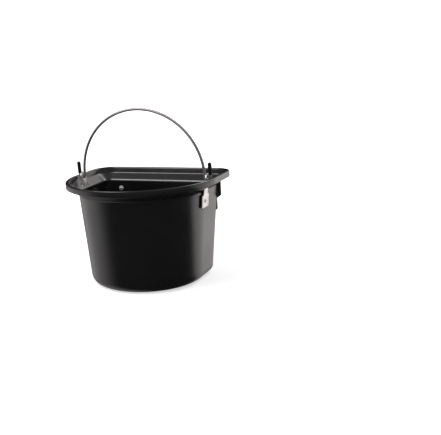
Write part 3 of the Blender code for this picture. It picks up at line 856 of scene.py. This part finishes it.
def spangle_group():
    """Zinc crystals: each cell has its own brightness, with fine drawn grain over them."""
    name = "Zinc spangle"
    if name in bpy.data.node_groups:
        return bpy.data.node_groups[name]
    inputs = [("Crystal scale", 260.0), ("Grain scale", 2200.0)]
    tree, start, out = new_group(name, inputs, ["Crystal", "Grain"])
    point = object_point(tree)
    bent = wandering(tree, point, 300.0, 0.0025)
    scale = start.outputs["Crystal scale"]
    cells = add_node(tree, "ShaderNodeTexVoronoi", {"Vector": bent, "Scale": scale})
    shade = add_node(tree, "ShaderNodeSeparateColor", {0: cells.outputs["Color"]}).outputs[0]
    tree.links.new(shade, out.inputs["Crystal"])
    tree.links.new(noise(tree, point, start.outputs["Grain scale"], 3.0), out.inputs["Grain"])
    return tree


def new_finish(name):
    """A material with its Principled shader."""
    made = bpy.data.materials.new(name)
    made.use_nodes = True
    return made, made.node_tree, made.node_tree.nodes["Principled BSDF"]


def grouped(tree, group, values):
    """A node group in a material, with its inputs by name."""
    made = tree.nodes.new("ShaderNodeGroup")
    made.node_tree = group
    for label, value in values.items():
        made.inputs[label].default_value = value
    return made.outputs


def tinted(tree, value, low, high):
    """A colour between two colours, by a value."""
    made = add_node(tree, "ShaderNodeMix", {0: value}, data_type="RGBA")
    made.inputs[6].default_value = (*low, 1.0)
    made.inputs[7].default_value = (*high, 1.0)
    return made.outputs[2]


def bumped(tree, shader, height, strength, distance):
    """Feed a height into a shader's normal."""
    made = add_node(tree, "ShaderNodeBump", {"Strength": strength, "Distance": distance, "Height": height})
    tree.links.new(made.outputs[0], shader.inputs["Normal"])


def shade_of(tint, factor):
    """A colour made lighter or darker."""
    return tuple(min(1.0, part * factor) for part in tint)


def moulded_plastic(tint):
    """Glossy black moulding with a faint orange-peel skin, rubbed lines and dust."""
    made, tree, shader = new_finish("moulded_black_plastic")
    grain = grouped(tree, grain_group(), {"Grain scale": 700.0, "Drift scale": 14.0})
    marks = grouped(tree, handling_group(), {"Line scale": 40.0, "Amount": 0.22})
    dust_tint = (0.11, 0.105, 0.10)
    tree.links.new(tinted(tree, marks["Dust"], tint, dust_tint), shader.inputs["Base Color"])
    rough = ranged(tree, grain["Drift"], 0.3, 0.7, 0.17, 0.25)
    rough = plus(tree, rough, times(tree, marks["Rub"], 0.16), times(tree, marks["Dust"], 0.3))
    tree.links.new(rough, shader.inputs["Roughness"])
    height = plus(tree, grain["Height"], times(tree, grain["Drift"], 5.0))
    bumped(tree, shader, height, 0.05, 0.0001)
    shader.inputs["IOR"].default_value = 1.56
    return made


def hook_coat(tint):
    """Black powder coat with its fine pebbled skin."""
    made, tree, shader = new_finish("black_powder_coat")
    grain = grouped(tree, grain_group(), {"Grain scale": 1500.0, "Drift scale": 60.0})
    marks = grouped(tree, handling_group(), {"Line scale": 70.0, "Amount": 0.7})
    dust_tint = (0.09, 0.09, 0.09)
    tree.links.new(tinted(tree, marks["Dust"], tint, dust_tint), shader.inputs["Base Color"])
    rough = ranged(tree, grain["Drift"], 0.3, 0.7, 0.30, 0.42)
    tree.links.new(plus(tree, rough, times(tree, marks["Rub"], 0.2)), shader.inputs["Roughness"])
    bumped(tree, shader, grain["Height"], 0.35, 0.0002)
    return made


def cap_plastic(tint):
    """Matt soft plastic of the bail's caps."""
    made, tree, shader = new_finish("matt_black_cap")
    grain = grouped(tree, grain_group(), {"Grain scale": 2600.0, "Drift scale": 180.0})
    tone = tinted(tree, grain["Drift"], shade_of(tint, 0.8), shade_of(tint, 1.5))
    tree.links.new(tone, shader.inputs["Base Color"])
    tree.links.new(ranged(tree, grain["Drift"], 0.3, 0.7, 0.48, 0.62), shader.inputs["Roughness"])
    bumped(tree, shader, grain["Height"], 0.3, 0.0001)
    shader.inputs["Specular IOR Level"].default_value = 0.25
    return made


def plated_metal(name, tint, crystal_scale, spread, rough, grain_depth):
    """Plated or bare metal: crystals that spread a little in tone and in roughness, under a fine grain."""
    made, tree, shader = new_finish(name)
    zinc = grouped(tree, spangle_group(), {"Crystal scale": crystal_scale, "Grain scale": 1800.0})
    shader.inputs["Metallic"].default_value = 1.0
    tone = tinted(tree, zinc["Crystal"], shade_of(tint, 1.0 - spread), shade_of(tint, 1.0 + spread))
    tree.links.new(tone, shader.inputs["Base Color"])
    dull = ranged(tree, zinc["Crystal"], 0.0, 1.0, rough[0], rough[1])
    tree.links.new(plus(tree, dull, times(tree, zinc["Grain"], 0.08)), shader.inputs["Roughness"])
    bumped(tree, shader, zinc["Grain"], 0.25, grain_depth)
    return made


# Operators


class FEEDBUCKET_OT_tub(Operator):
    """Build the moulded tub with its gussets, ear seats and slots"""

    bl_idname = "feed_bucket.make_tub"
    bl_label = "Make tub"

    def execute(self, context):
        """Loft the tub, then join and cut its details."""
        tub, ear = context.scene.feed_bucket_tub, context.scene.feed_bucket_ear
        finish = moulded_plastic(context.scene.feed_bucket_colours.plastic)
        made = self.loft(tub, finish)
        tools = []
        for side in SIDES.values():
            tools.append((self.gusset(tub, side), "UNION"))
            tools.append((self.pad(tub, ear, side), "UNION"))
        for side in SIDES.values():
            tools.append((self.slot(tub, ear, side), "DIFFERENCE"))
        for tool, operation in tools:
            step = made.modifiers.new(tool.name, "BOOLEAN")
            step.operation = operation
            step.object = tool
            step.solver = "EXACT"
        made = settled(made)
        for tool, _ in tools:
            bpy.data.objects.remove(tool)
        made.data.shade_smooth()
        made.data.set_sharp_from_angle(angle=CREASE)
        coat(made.data, finish)
        finished(made, "tub", "moulding", "bucket_shell")
        return {"FINISHED"}

    def loft(self, tub, finish):
        """The plain tub. Its first and last points come once more without spread, to close the floor."""
        points = [(p.x, p.z, p.y) for p in tub_profile(tub)]
        spread = [0.0] + [1.0] * len(points) + [0.0]
        points = [points[0]] + points + [points[-1]]
        section = bpy.data.meshes.new("finished_tub")
        section.from_pydata(points, [], [])
        section.attributes.new("spread", "FLOAT", "POINT").data.foreach_set("value", spread)
        plan = bpy.data.meshes.new("tub_plan")
        directions = tub_plan(tub)
        plan.from_pydata([Vector()] * len(directions), [], [])
        for k, label in enumerate(("by_radius", "by_corner", "by_back")):
            store = plan.attributes.new(label, "FLOAT_VECTOR", "POINT")
            store.data.foreach_set("vector", [part for point in directions for part in point[k]])
        plan_object = add_object("tub_plan", plan)
        made = add_object("finished_tub", section)
        values = {
            "Plan": plan_object,
            "Rim radius": tub.rim_radius,
            "Rim back": tub.rim_back,
            "Finish": finish,
        }
        made = settled(run_tree(made, tub_tree(), values))
        bpy.data.objects.remove(plan_object)
        body = bmesh.new()
        body.from_mesh(made.data)
        written(body, made.data)
        return made

    def gusset(self, tub, side):
        """A rib between the back corner of the wall and the underside of the rim."""
        at = tub_section(tub)
        foot, knee = at["foot"], at["knee"]
        start = corner_point(tub, foot.x, tub.wall_corner, tub.gusset_angle)
        end = corner_point(tub, knee.x, tub.rim_corner - knee.x, tub.gusset_angle)
        out = (end - start).normalized()
        low = foot.y - tub.gusset_depth
        sunk = tub.wall / 2
        slope = (knee.y - foot.y) / (end - start).length
        fall = (wall_inset(tub, low) - wall_inset(tub, foot.y)) * (out.x + out.y)
        reach = tub.gusset_reach
        outline = [
            Vector((-sunk, foot.y + sunk)),
            Vector((-sunk - fall, low)),
            Vector((-fall, low)),
            Vector((reach, low + reach)),
            Vector((reach, foot.y + slope * reach + sunk)),
        ]
        rib = add_object("gusset", plate_mesh("gusset", outline, tub.gusset_thick))
        rib = eased(rib, tub.edge_round, sharp=math.radians(30.0))
        origin = (side * start.x, start.y, 0.0)
        across = (side * out.x, out.y, 0.0)
        rib.matrix_world = placing(origin, across, (0.0, 0.0, 1.0), (out.y, -side * out.x, 0.0))
        return rib

    def pad(self, tub, ear, side):
        """The flat seat on the wall for an ear."""
        width = ear.width / 2 - ear.pad_margin
        height = ear.height / 2 - ear.pad_margin
        corners = [(-width, -height), (width, -height), (width, height), (-width, height)]
        outline = rounded([(Vector((x, y, 0.0)), ear.pad_corner, 6) for x, y in corners])
        radius = tub.rim_radius - wall_inset(tub, tub.height - ear.rivet_depth)
        fall = sagitta(radius, abs(ear.place) + width)
        sunk = (fall + tub.wall) / 2
        seat = add_object("ear_pad", plate_mesh("ear_pad", outline, ear.pad_height + sunk))
        shift = Matrix.Translation((0.0, 0.0, (ear.pad_height - sunk) / 2))
        seat.matrix_world = ear_place(tub, ear, side) @ shift
        return seat

    def slot(self, tub, ear, side):
        """The slot in the shoulder that an ear's neck passes through."""
        lean = tub.draft + ear.crank
        low = (tub_section(tub)["foot"].y - crank_z(tub, ear)) / math.cos(lean)
        high = (tub.height - tub.lip - crank_z(tub, ear)) / math.cos(lean)
        wide = ear.neck / 2 + ear.slot_end
        deep = ear.thickness / 2
        corners = [
            (-wide, -deep - ear.slot_inner),
            (wide, -deep - ear.slot_inner),
            (wide, deep + ear.slot_outer),
            (-wide, deep + ear.slot_outer),
        ]
        outline = rounded([(Vector((x, y, 0.0)), tub.edge_round * 2, 3) for x, y in corners])
        cutter = add_object("slot", plate_mesh("slot", outline, high - low))
        turn = Matrix.Translation((0.0, (high + low) / 2, 0.0)) @ Matrix.Rotation(math.pi / 2, 4, "X")
        cutter.matrix_world = neck_place(tub, ear, side) @ turn
        return cutter


class FEEDBUCKET_OT_ears(Operator):
    """Build the two bail ears"""

    bl_idname = "feed_bucket.make_ears"
    bl_label = "Make ears"

    def execute(self, context):
        """Round the edges of the pressed plates."""
        ear = context.scene.feed_bucket_ear
        zinc = context.scene.feed_bucket_colours.zinc
        finish = plated_metal("galvanised_sheet", zinc, 210.0, 0.12, (0.26, 0.40), 0.00006)
        for name in SIDES:
            made = eased_copy(f"finished_ear_{name}", f"bail_ear_{name}", finish, ear.edge_round)
            finished(made, "tub", "galvanised", f"bail_ear_{name}")
        return {"FINISHED"}


class FEEDBUCKET_OT_hooks(Operator):
    """Build the two bar hooks"""

    bl_idname = "feed_bucket.make_hooks"
    bl_label = "Make hooks"

    def execute(self, context):
        """Round the edges of the bent bars."""
        finish = hook_coat(context.scene.feed_bucket_colours.coat)
        edge = context.scene.feed_bucket_fasteners.bar_edge
        for name in SIDES:
            made = eased_copy(f"finished_hook_{name}", f"hook_bar_{name}", finish, edge)
            finished(made, "tub", "hook_coat", f"hook_bar_{name}")
        return {"FINISHED"}


class FEEDBUCKET_OT_bail(Operator):
    """Build the wire bail"""

    bl_idname = "feed_bucket.make_bail"
    bl_label = "Make bail"

    WIRE_SIDES = 24
    # Tone of the wire beside the zinc of the ears
    WIRE_SHADE = 0.55

    def execute(self, context):
        """Draw the wire along its path."""
        scene = context.scene
        bail = scene.feed_bucket_bail
        place = bail_frame(bail)
        line = bail_path(scene.feed_bucket_tub, scene.feed_bucket_ear, bail)
        path = [place @ Vector((p.x, 0.0, p.y)) for p in line]
        curve = bpy.data.curves.new("finished_bail", "CURVE")
        curve.dimensions = "3D"
        spline = curve.splines.new("POLY")
        spline.points.add(len(path) - 1)
        for target, point in zip(spline.points, path):
            target.co = (*point, 1.0)
        tint = shade_of(scene.feed_bucket_colours.zinc, self.WIRE_SHADE)
        finish = plated_metal("galvanised_wire", tint, 900.0, 0.04, (0.50, 0.58), 0.00002)
        values = {"Radius": bail.wire, "Sides": self.WIRE_SIDES, "Finish": finish}
        mesh = plain_mesh(run_tree(add_object("finished_bail", curve), wire_tree(), values))
        mesh.set_sharp_from_angle(angle=math.radians(50.0))
        made = add_object("finished_bail", mesh, finish)
        finished(made, "bail_body", "galvanised", "bail")
        return {"FINISHED"}


class FEEDBUCKET_OT_caps(Operator):
    """Build the two caps of the bail"""

    bl_idname = "feed_bucket.make_caps"
    bl_label = "Make caps"

    MOUTH_ROUND = 0.0003

    def execute(self, context):
        """Set a turned cap on each tail of the wire."""
        scene = context.scene
        tub, ear, bail = scene.feed_bucket_tub, scene.feed_bucket_ear, scene.feed_bucket_bail
        bore = bail.wire + GAP
        radius, top = bail.cap_radius, bail.cap_length
        edge = self.MOUTH_ROUND
        profile = arc((0.0, top - radius), radius, math.pi / 2, 0.0, 12)
        profile[0] = (0.0, top)
        profile += arc((radius - edge, edge), edge, 0.0, -math.pi / 2, 4)
        profile += [(bore, 0.0), (bore, top - bail.cap_end), (0.0, top - bail.cap_end)]
        foot = bail_bend(tub, ear, bail) + bail.cap_clear
        tail = bail_legs(tub, ear, bail)[1]
        plane = bail_frame(bail)
        places = [plane @ Matrix.Translation((side * tail, 0.0, foot)) for side in SIDES.values()]
        finish = cap_plastic(scene.feed_bucket_colours.cap)
        made = set_pattern("finished_caps", turned_mesh("cap", profile, 32), places, finish)
        finished(made, "bail_body", "caps", "bail_cap_right", "bail_cap_left")
        return {"FINISHED"}


class FEEDBUCKET_OT_fasteners(Operator):
    """Build the rivets, their pins and their washers"""

    bl_idname = "feed_bucket.make_fasteners"
    bl_label = "Make fasteners"

    # Rounding of small edges, and the rounded share of a rivet's bulge and of a pin's head
    EDGE = 0.0002
    BULGE_ROUND = 0.55
    PIN_ROUND = 0.5
    # Width of the flat end of a pin's head, as a share of the whole head
    PIN_END = 0.7

    def execute(self, context):
        """Set each kind at its places on the ears and on the hooks."""
        scene = context.scene
        tub, ear, sizes = scene.feed_bucket_tub, scene.feed_bucket_ear, scene.feed_bucket_fasteners
        tints = scene.feed_bucket_colours
        metals = {
            "rivet": plated_metal("rivet_aluminium", tints.rivet, 900.0, 0.05, (0.22, 0.32), 0.00003),
            "rivet_pin": plated_metal("rivet_pin_steel", tints.pin, 900.0, 0.10, (0.40, 0.55), 0.00003),
            "washer": plated_metal("washer_zinc_plate", tints.washer, 700.0, 0.06, (0.36, 0.48), 0.00003),
        }
        slots = {"rivet": "rivets", "rivet_pin": "pins", "washer": "washers"}
        fall = sagitta(
            tub.rim_radius - wall_inset(tub, tub.height - ear.rivet_depth) - tub.wall,
            abs(ear.place) + sizes.washer,
        )
        sets = {
            "ear": (
                [ear_place(tub, ear, side) for side in SIDES.values()],
                ear_middle(ear) + ear.thickness / 2,
                -tub.wall - fall,
                [f"ear_{name}" for name in SIDES],
            ),
            "hook": (
                hook_rivet_places(tub, sizes),
                GAP + sizes.bar_thick,
                -tub.wall,
                [f"hook_{name}_{end}" for name in SIDES for end in ("upper", "lower")],
            ),
        }
        for label, (places, outer, inner, names) in sets.items():
            for kind, profile in self.profiles(sizes, outer, inner).items():
                mesh = turned_mesh(f"{label}_{kind}", profile)
                made = set_pattern(f"finished_{label}_{kind}s", mesh, places, metals[kind])
                finished(made, "tub", slots[kind], *[f"{name}_{kind}" for name in names])
        return {"FINISHED"}

    def profiles(self, sizes, outer, inner):
        """Profiles of a rivet, its pin and its washer, for a stack between two faces."""
        edge = self.EDGE
        seat = inner - GAP
        low = seat - sizes.washer_thick
        bore = sizes.shank + GAP
        washer = [(bore, seat)]
        washer += arc((sizes.washer - edge, seat - edge), edge, math.pi / 2, 0.0, 3)
        washer += arc((sizes.washer - edge, low + edge), edge, 0.0, -math.pi / 2, 3)
        washer += [(bore, low)]
        head = outer + GAP
        top = head + sizes.head_height
        tail = low - GAP
        end = tail - sizes.tail_length
        hole = sizes.pin + GAP
        rivet = [(hole, top - 3 * edge), (hole + 2.5 * edge, top)]
        rise = top - head - sizes.head_edge
        for turn in quarter(8):
            reach = sizes.head_flat + (sizes.head - sizes.head_flat) * math.sin(turn)
            rivet.append((reach, head + sizes.head_edge + rise * math.cos(turn)))
        rivet += [(sizes.head, head), (sizes.shank, head), (sizes.shank, tail), (sizes.tail - edge, tail)]
        for turn in quarter(6):
            reach = sizes.shank + (sizes.tail - sizes.shank) * math.cos(turn)
            rivet.append((reach, end + sizes.tail_length * self.BULGE_ROUND * (1.0 - math.sin(turn))))
        rivet += [(hole, end)]
        start = end - GAP
        tip = start - sizes.pin_head_length
        pin = [
            (0.0, top - sizes.pin_recess),
            (sizes.pin - edge, top - sizes.pin_recess),
            (sizes.pin, top - sizes.pin_recess - edge),
            (sizes.pin, start),
            (sizes.pin_head, start),
        ]
        for turn in quarter(5):
            reach = sizes.pin_head * (self.PIN_END + (1.0 - self.PIN_END) * math.cos(turn))
            pin.append((reach, tip + sizes.pin_head_length * self.PIN_ROUND * (1.0 - math.sin(turn))))
        pin += [(0.0, tip)]
        return {"washer": washer, "rivet": rivet, "rivet_pin": pin}


class FEEDBUCKET_OT_stage(Operator):
    """Build the floor, the room, the lamps and the camera"""

    bl_idname = "feed_bucket.make_stage"
    bl_label = "Make stage"

    # Turn of the camera's view about the upright, and its place, the point it faces and its roll
    VIEW_TURN = math.radians(26.88)
    CAMERA_PLACE = Vector((0.8227, -1.6413, 0.5840))
    CAMERA_TARGET = Vector((0.0, -0.0184, 0.1482))
    CAMERA_ROLL = math.radians(-3.9)
    # Front of the floor, start and radius of its bend, top of the backdrop and half its width
    FLOOR_FRONT = -2.6
    BEND_START = 1.3
    BEND_RADIUS = 0.7
    BACKDROP_TOP = 2.6
    HALF_WIDTH = 3.2
    # Name, place, target, width and power of each softbox
    LAMPS = (
        ("top_softbox", (0.0, 0.3, 2.2), (0.0, 0.0, 0.2), 3.4, 6.0),
        ("key_softbox", (-0.8, -0.9, 1.8), (0.0, 0.0, 0.25), 1.0, 18.0),
        ("back_softbox", (0.78, 1.38, 1.75), (0.0, 0.0, 0.25), 0.8, 10.0),
    )
    # Direction of each soft glow in the room, cosines of the angles to its edge and core, and its strength
    GLOWS = (
        ((0.5, 0.72, 0.48), 0.84, 0.97, 1.2),
        ((0.6, 0.4, 0.68), 0.93, 0.98, 2.0),
        ((-0.6, -0.19, 0.78), 0.885, 0.95, 2.4),
    )
    # Level of the room that matt surfaces see, level of its ceiling in reflections, and its tint
    SOFT_LEVEL = 0.3
    CEILING_LEVEL = 0.2
    ROOM_TINT = Vector((1.0, 0.95, 0.945))

    def execute(self, context):
        """Set up the studio."""
        self.sweep(context.scene.feed_bucket_colours.floor)
        self.world()
        for settings in self.LAMPS:
            self.lamp(*settings)
        self.camera()
        context.scene.view_settings.view_transform = "Standard"
        return {"FINISHED"}

    def sweep(self, tint):
        """A pale floor that curves up into the backdrop, white to the camera away from the shadow."""
        radius = self.BEND_RADIUS
        line = [(self.FLOOR_FRONT, 0.0), (self.BEND_START, 0.0)]
        for turn in quarter(24)[1:]:
            line.append((self.BEND_START + radius * math.sin(turn), radius - radius * math.cos(turn)))
        line.append((self.BEND_START + radius, self.BACKDROP_TOP))
        turn = Matrix.Rotation(self.VIEW_TURN, 3, "Z")
        ends = (-self.HALF_WIDTH, self.HALF_WIDTH)
        body = bmesh.new()
        rows = [[body.verts.new(turn @ Vector((x, y, z))) for x in ends] for y, z in line]
        for low, high in zip(rows, rows[1:]):
            body.faces.new((low[0], low[1], high[1], high[0]))
        mesh = bpy.data.meshes.new("studio_sweep")
        body.to_mesh(mesh)
        body.free()
        mesh.shade_smooth()
        made, tree, shader = new_finish("pale_studio_paper")
        shader.inputs["Base Color"].default_value = (*tint, 1.0)
        shader.inputs["Roughness"].default_value = 0.9
        shader.inputs["Specular IOR Level"].default_value = 0.0
        point = object_point(tree)
        away = add_node(tree, "ShaderNodeVectorMath", {0: point}, operation="LENGTH").outputs["Value"]
        to_camera = add_node(tree, "ShaderNodeLightPath").outputs["Is Camera Ray"]
        glow = times(tree, ranged(tree, away, 0.35, 1.1, 0.6, 1.0), to_camera)
        tone = tinted(tree, glow, (0.0, 0.0, 0.0), (1.0, 1.0, 1.0))
        tree.links.new(tone, shader.inputs["Emission Color"])
        shader.inputs["Emission Strength"].default_value = 1.0
        floor = add_object("studio_sweep", mesh, made)
        floor.visible_glossy = False

    def world(self):
        """A room that is white to the camera. Reflections see pale sides, a dark front and soft glows."""
        made = bpy.data.worlds.new("studio_room")
        made.use_nodes = True
        tree = made.node_tree
        way = add_node(tree, "ShaderNodeTexCoord").outputs["Generated"]
        turned = {"Vector": way, "Rotation": (0.0, 0.0, -self.VIEW_TURN)}
        way = add_node(tree, "ShaderNodeMapping", turned).outputs[0]
        rise = add_node(tree, "ShaderNodeSeparateXYZ", {0: way}).outputs["Z"]
        flat = vector_of(tree, "MULTIPLY", way, Vector((1.0, 1.0, 0.0)))
        flat = add_node(tree, "ShaderNodeVectorMath", {0: flat}, operation="NORMALIZE").outputs[0]
        across, depth, _ = add_node(tree, "ShaderNodeSeparateXYZ", {0: flat}).outputs
        room = self.walls(tree, across, depth, rise)
        room = mixed(tree, ranged(tree, rise, 0.45, 0.85), room, self.CEILING_LEVEL)
        for axis, edge, core, strength in self.GLOWS:
            facing = add_node(tree, "ShaderNodeVectorMath", {0: way, 1: axis}, operation="DOT_PRODUCT")
            room = plus(tree, room, ranged(tree, facing.outputs["Value"], edge, core, 0.0, strength))
        path = add_node(tree, "ShaderNodeLightPath").outputs
        shade = add_node(tree, "ShaderNodeVectorMath", {0: self.ROOM_TINT}, operation="SCALE")
        tree.links.new(mixed(tree, path["Is Glossy Ray"], self.SOFT_LEVEL, room), shade.inputs["Scale"])
        seen = add_node(tree, "ShaderNodeMix", {0: path["Is Camera Ray"]}, data_type="RGBA")
        tree.links.new(shade.outputs[0], seen.inputs[6])
        seen.inputs[7].default_value = (1.0, 1.0, 1.0, 1.0)
        tree.links.new(seen.outputs[2], tree.nodes["Background"].inputs["Color"])
        bpy.context.scene.world = made

    def walls(self, tree, across, depth, rise):
        """Level of the room's walls, by how far a direction points across, away from the camera and up."""
        # The walls are pale low down, apart from one tall strip on the right
        low = ranged(tree, rise, -0.16, -0.12, 1.0, 0.08)
        tall = times(
            tree,
            ranged(tree, depth, 0.4, 0.55),
            ranged(tree, depth, 0.75, 0.95, 1.0, 0.0),
            ranged(tree, rise, 0.1, 0.3, 1.0, 0.12),
        )
        # The near edge of the right wall slants
        slanted = plus(tree, depth, times(tree, plus(tree, rise, 0.32), 2.0))
        right = times(
            tree,
            ranged(tree, slanted, -0.12, 0.2, 0.08, 1.45),
            ranged(tree, depth, 0.65, 0.97, 1.0, 0.4),
            sum_of(tree, "MAXIMUM", low, tall),
            ranged(tree, rise, -0.215, -0.175, 1.0, 1.2),
        )
        left = times(
            tree,
            ranged(tree, depth, -0.45, 0.25, 0.09, 0.95),
            ranged(tree, depth, 0.75, 0.97, 1.0, 0.4),
            low,
        )
        sides = mixed(tree, ranged(tree, across, -0.3, 0.3), left, right)
        sides = times(tree, sides, ranged(tree, rise, -0.45, -0.28, 0.6, 1.0))
        front = ranged(tree, rise, -0.25, -0.1, 0.0, 0.24)
        front = times(tree, front, ranged(tree, depth, 0.2, 0.7, 1.0, 0.0))
        return plus(tree, sides, front)

    def lamp(self, name, place, target, width, power):
        """A square softbox that faces a point."""
        light = bpy.data.lights.new(name, "AREA")
        light.shape = "RECTANGLE"
        light.size = width
        light.size_y = width
        light.energy = power
        made = add_object(name, light)
        made.location = place
        made.rotation_euler = (Vector(target) - Vector(place)).to_track_quat("-Z", "Y").to_euler()

    def camera(self):
        """The camera at the photograph's angle."""
        lens = bpy.data.cameras.new("photo_camera")
        lens.lens = 59.1
        lens.sensor_width = 36.0
        lens.shift_x = 0.1752
        lens.shift_y = 0.0127
        made = add_object("photo_camera", lens)
        made.location = self.CAMERA_PLACE
        aim = (self.CAMERA_TARGET - made.location).to_track_quat("-Z", "Y")
        made.rotation_euler = (aim @ Quaternion((0.0, 0.0, 1.0), self.CAMERA_ROLL)).to_euler()
        bpy.context.scene.camera = made


class FEEDBUCKET_PT_panel(Panel):
    """Lists the bucket's pieces"""

    bl_idname = "FEEDBUCKET_PT_panel"
    bl_label = "Feed bucket"
    bl_space_type = "VIEW_3D"
    bl_region_type = "UI"
    bl_category = "Feed bucket"

    def draw(self, context):
        """Draw a button for each operator, and the sizes and colours."""
        for operator in OPERATORS:
            self.layout.operator(operator.bl_idname)
        for name, group in GROUPS.items():
            box = self.layout.box()
            box.label(text=group.__doc__)
            for key in group.__annotations__:
                box.prop(getattr(context.scene, name), key)


OPERATORS = (
    FEEDBUCKET_OT_tub,
    FEEDBUCKET_OT_ears,
    FEEDBUCKET_OT_hooks,
    FEEDBUCKET_OT_bail,
    FEEDBUCKET_OT_caps,
    FEEDBUCKET_OT_fasteners,
    FEEDBUCKET_OT_stage,
)
GROUPS = {
    "feed_bucket_tub": FeedBucketTub,
    "feed_bucket_ear": FeedBucketEar,
    "feed_bucket_bail": FeedBucketBail,
    "feed_bucket_fasteners": FeedBucketFasteners,
    "feed_bucket_colours": FeedBucketColours,
}


def register():
    """Register the classes and put the sizes on the scene."""
    for group in GROUPS.values():
        bpy.utils.register_class(group)
    for operator in OPERATORS:
        bpy.utils.register_class(operator)
    bpy.utils.register_class(FEEDBUCKET_PT_panel)
    for name, group in GROUPS.items():
        setattr(bpy.types.Scene, name, PointerProperty(type=group))


def unregister():
    """Undo register."""
    for name in GROUPS:
        delattr(bpy.types.Scene, name)
    bpy.utils.unregister_class(FEEDBUCKET_PT_panel)
    for made in list(OPERATORS) + list(GROUPS.values()):
        bpy.utils.unregister_class(made)


def main():
    """Make every piece and the stage."""
    register()
    bpy.ops.feed_bucket.make_tub()
    bpy.ops.feed_bucket.make_ears()
    bpy.ops.feed_bucket.make_hooks()
    bpy.ops.feed_bucket.make_bail()
    bpy.ops.feed_bucket.make_caps()
    bpy.ops.feed_bucket.make_fasteners()
    bpy.ops.feed_bucket.make_stage()


if __name__ == "__main__":
    main()
